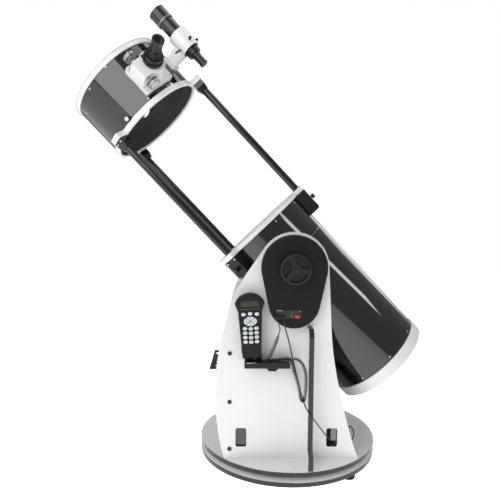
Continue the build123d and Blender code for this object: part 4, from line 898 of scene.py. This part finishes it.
def finder_details():
    """Rings, glass, knurls, adjusting screws and plunger of the finder."""
    chrome = materials["chrome"]
    knob = materials["knob_black"]

    def at(station):
        """Point on the finder's axis at a station in millimetres."""
        return on_tube(station * MM, FINDER_ANGLE, FINDER_DISTANCE)

    def turned(name, look, profiles):
        """Piece of profiles turned about the finder's axis."""
        bm = bmesh.new()
        for profile in profiles:
            lathe(bm, [(radius * MM, (station - FINDER_START) * MM) for radius, station in profile],
                  at(FINDER_START), SKY, 48)
        return piece(name, bm, look, "cage")

    turned("finder_shade_ring", surface("shade_grey", (0.18, 0.19, 0.19), 0.3, metal=0.5, bump=0.1),
           [[(27.9, 872.5), (29.0, 873.5), (29.0, 879.5), (27.9, 880.5)]])
    turned("finder_shade_rim", materials["finder_black"],
           [[(28.0, 914.5), (28.6, 915), (28.6, 918.6), (27.6, 918.9)]])
    turned("finder_objective",
           surface("objective_glass", (0.02, 0.03, 0.05), 0.02, bump=0.0, coat=1.0),
           [[(25.4, 900), (20, 902.2), (10, 903.7), (0, 904.2)]])
    turned("finder_knurl", knob,
           [band(23, 736 + 3.4 * i, 738 + 3.4 * i, 0.5) for i in range(7)]
           + [band(20, 762, 764, 0.5), band(20, 768, 770, 0.5)])
    turned("finder_eyepiece_rings", materials["finder_black"],
           [band(13, 690, 695, 1.2), band(13, 704, 707, 0.6), band(13, 712, 715, 0.6),
            band(13, 724, 731, 2.5)])
    turned("finder_glints", chrome,
           [band(20, 773, 774.2, 0.7), band(23, 757.4, 758.6, 0.7)])
    radial = outward(FINDER_ANGLE)
    tangent = outward(FINDER_ANGLE + 90)
    for number, turn in enumerate((45, -45), 1):
        side = radial * cos(radians(turn)) + tangent * sin(radians(turn))
        start = at(770) + side * 0.0328
        bm = bmesh.new()
        lathe(bm, [(2.0 * MM, 0), (2.0 * MM, 8 * MM)], start, side, 16)
        grip(bm, start + side * 0.006, side, 0.0048, 0.008, 12, 0.0006)
        piece(f"finder_thumbscrew_{number}", bm, knob, "cage")
    bm = bmesh.new()
    side = (-radial * 0.62 + tangent * -0.78).normalized()
    start = at(770) + side * 0.033
    profile = [(3.2 * MM, 0), (3.2 * MM, 22 * MM), (2.0 * MM, 23 * MM), (2.0 * MM, 27 * MM),
               (0, 27.6 * MM)]
    lathe(bm, profile, start, side, 20)
    steel = surface("plunger_steel", (0.05, 0.05, 0.055), 0.28, metal=0.6)
    piece("finder_plunger", bm, steel, "cage")


# ---------------------------------------------------------------- rocker and base details
def ring_of(radius, middle, angles, first, second):
    """Points on a circle round a middle, at angles from the first of two directions."""
    return [middle + first * (radius * cos(radians(angle))) + second * (radius * sin(radians(angle)))
            for angle in angles]


def base_details():
    """Cap of the altitude knob, and the screws of the base and the rocker box."""
    chrome = materials["chrome"]
    zinc = materials["zinc_steel"]
    bm = bmesh.new()
    grip_place = Vector((0, HOUSING_FACE - 0.038, AXIS.z))
    lathe(bm, [(9.5 * MM, 0), (9.5 * MM, 0.8 * MM), (8.5 * MM, 1.4 * MM), (5.2 * MM, 1.5 * MM),
               (4.9 * MM, 0.8 * MM), (0, 0.8 * MM)], grip_place, (0, -1, 0), 6)
    piece("knob_cap", bm, materials["knob_black"], "altitude_knob", smooth=False)
    across, up = Vector((1, 0, 0)), Vector((0, 0, 1))
    ground_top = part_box("ground_board")[1][2]
    feet = ring_of(0.287, up * ground_top, (-48, 72, 192), across, FAR)
    places = [(place, up) for place in feet]
    screws("foot_screws", "ground", zinc, places, 4.5, 1.6)
    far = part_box("far_side_panel")[1][1]
    middle = Vector((0, far + 0.016, AXIS.z))
    places = [(place, FAR) for place in ring_of(0.058, middle, (30, 150, 270), across, up)]
    screws("cover_screws", "rocker", zinc, places, 3.6, 1.8)
    turntable_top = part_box("turntable_board")[1][2]
    places = [(Vector((x, y, turntable_top)), up) for x in (-0.15, 0.0) for y in (-0.19, 0.19)]
    screws("turntable_screws", "rocker", zinc, places, 4.0, 1.6)
    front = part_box("front_board")[0][0]
    places = [(Vector((front, y, z)), -across) for z in (0.101, 0.26, 0.422) for y in (-0.19, 0.19)]
    screws("front_screws", "rocker", materials["screw_cap"], places, 5.0, 1.4)
    places = [(Vector((front - 0.003, y, 0.31)), -across) for y in (-0.1, -0.05, 0.05, 0.1)]
    screws("rack_screws", "rocker", chrome, places, 3.4, 1.8)
    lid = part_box("azimuth_drive_box")[1][2]
    places = [(Vector((x, y, lid)), up) for x in (0.055, 0.122) for y in (-0.17, -0.11)]
    screws("drive_box_screws", "rocker", zinc, places, 3.2, 1.6)


def clamp_details():
    """Screws and ribs of the strut clamps, and the wiper and screws of each strut."""
    chrome = materials["chrome"]
    casting = materials["black_casting"]
    places = []
    ribs = bmesh.new()
    for angle in STRUT_ANGLES:
        def on_clamp(along, side, distance):
            return on_tube(along, angle, distance, side)

        for station in (0.084, 0.148):
            for side in (-0.019, 0.019):
                places.append((on_clamp(station, side, 0.2158), outward(angle)))
        for station in (0.094, 0.104, 0.128, 0.138):
            corners = [(station - 0.0012, -0.015), (station + 0.0012, -0.015),
                       (station + 0.0012, 0.015), (station - 0.0012, 0.015)]
            slab(ribs, corners, 0.2155, 0.0016, on_clamp)
    screws("clamp_screws", "tube", chrome, places, 3.0, 1.8)
    piece("clamp_ribs", ribs, casting, "tube", smooth=False)
    places = []
    wipers = bmesh.new()
    profile = [(13.0 * MM, 0), (15.2 * MM, 0.3 * MM), (15.2 * MM, 1.2 * MM), (14.2 * MM, 1.6 * MM),
               (13.0 * MM, 1.7 * MM)]
    for angle in STRUT_ANGLES:
        lathe(wipers, profile, on_tube(0.1742, angle, STRUT_DISTANCE), SKY, 32)
        for side in (-0.010, 0.010):
            places.append((on_tube(0.676, angle, 0.2131, side), outward(angle)))
    piece("strut_wipers", wipers, casting, "tube")
    screws("block_screws", "cage", chrome, places, 2.6, 1.4)


def lowest_station(part):
    """Lowest station of a node along the optical axis."""
    return min((vertex.co - AXIS).dot(SKY) for vertex in part.data.vertices)


SPRING_RADIUS = 0.0068
SPRING_HEIGHT = 0.0055
SPRING_TURNS = 6
SPRING_STEPS = 14               # points per turn


def cell_details():
    """Springs round the collimation screws and heads on the arms at the rear."""
    zinc = materials["zinc_steel"]
    places = []
    low = lowest_station(nodes["rear_ring"]) + 0.0062
    count = SPRING_TURNS * SPRING_STEPS
    for number, angle in enumerate(CELL_ANGLES, 1):
        data = bpy.data.curves.new(f"spring_{number}", "CURVE")
        data.dimensions = "3D"
        data.bevel_depth = 0.0007
        data.bevel_resolution = 3
        spline = data.splines.new("POLY")
        spline.points.add(count - 1)
        centre = on_tube(low, angle, 0.112)
        for i, point in enumerate(spline.points):
            turn = 2 * pi * i / SPRING_STEPS
            swing = UPPER * cos(turn) + FAR * sin(turn)
            place = centre + swing * SPRING_RADIUS + SKY * (SPRING_HEIGHT * i / count)
            point.co = (*place, 1)
        spring = bpy.data.objects.new(f"cell_spring_{number}", data)
        bpy.context.collection.objects.link(spring)
        data.materials.append(zinc)
        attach(spring, "tube")
        places.append((on_tube(-0.4981, angle, 0.148), -SKY))
    screws("arm_screws", "tube", zinc, places, 3.8, 1.8)


# width of the rounding in millimetres
SOFT_EDGES = {
    "number_keys": 0.7, "menu_keys": 0.7, "key_up": 0.6, "key_down": 0.6, "key_left": 0.6,
    "key_right": 0.6, "panel_screw_caps": 0.6, "power_switch": 0.5, "cord_plugs": 0.8,
    "struts": 0.5, "handset_holder": 0.5,
}


def soften_edges():
    """Round the sharp edges of small moulded parts."""
    for name, width in SOFT_EDGES.items():
        bevel = nodes[name].modifiers.new("soft edge", "BEVEL")
        bevel.width = width * MM
        bevel.segments = 2
        bevel.limit_method = "ANGLE"
        bevel.angle_limit = radians(50)


bpy.context.scene.view_settings.view_transform = "Standard"
add_camera()
add_studio()
curly_cord()
drive_cable()
paint_nodes()
handset_details()
holder_details()
housing_details()
tube_details()
cage_knobs()
focuser_details()
finder_details()
base_details()
clamp_details()
cell_details()
soften_edges()
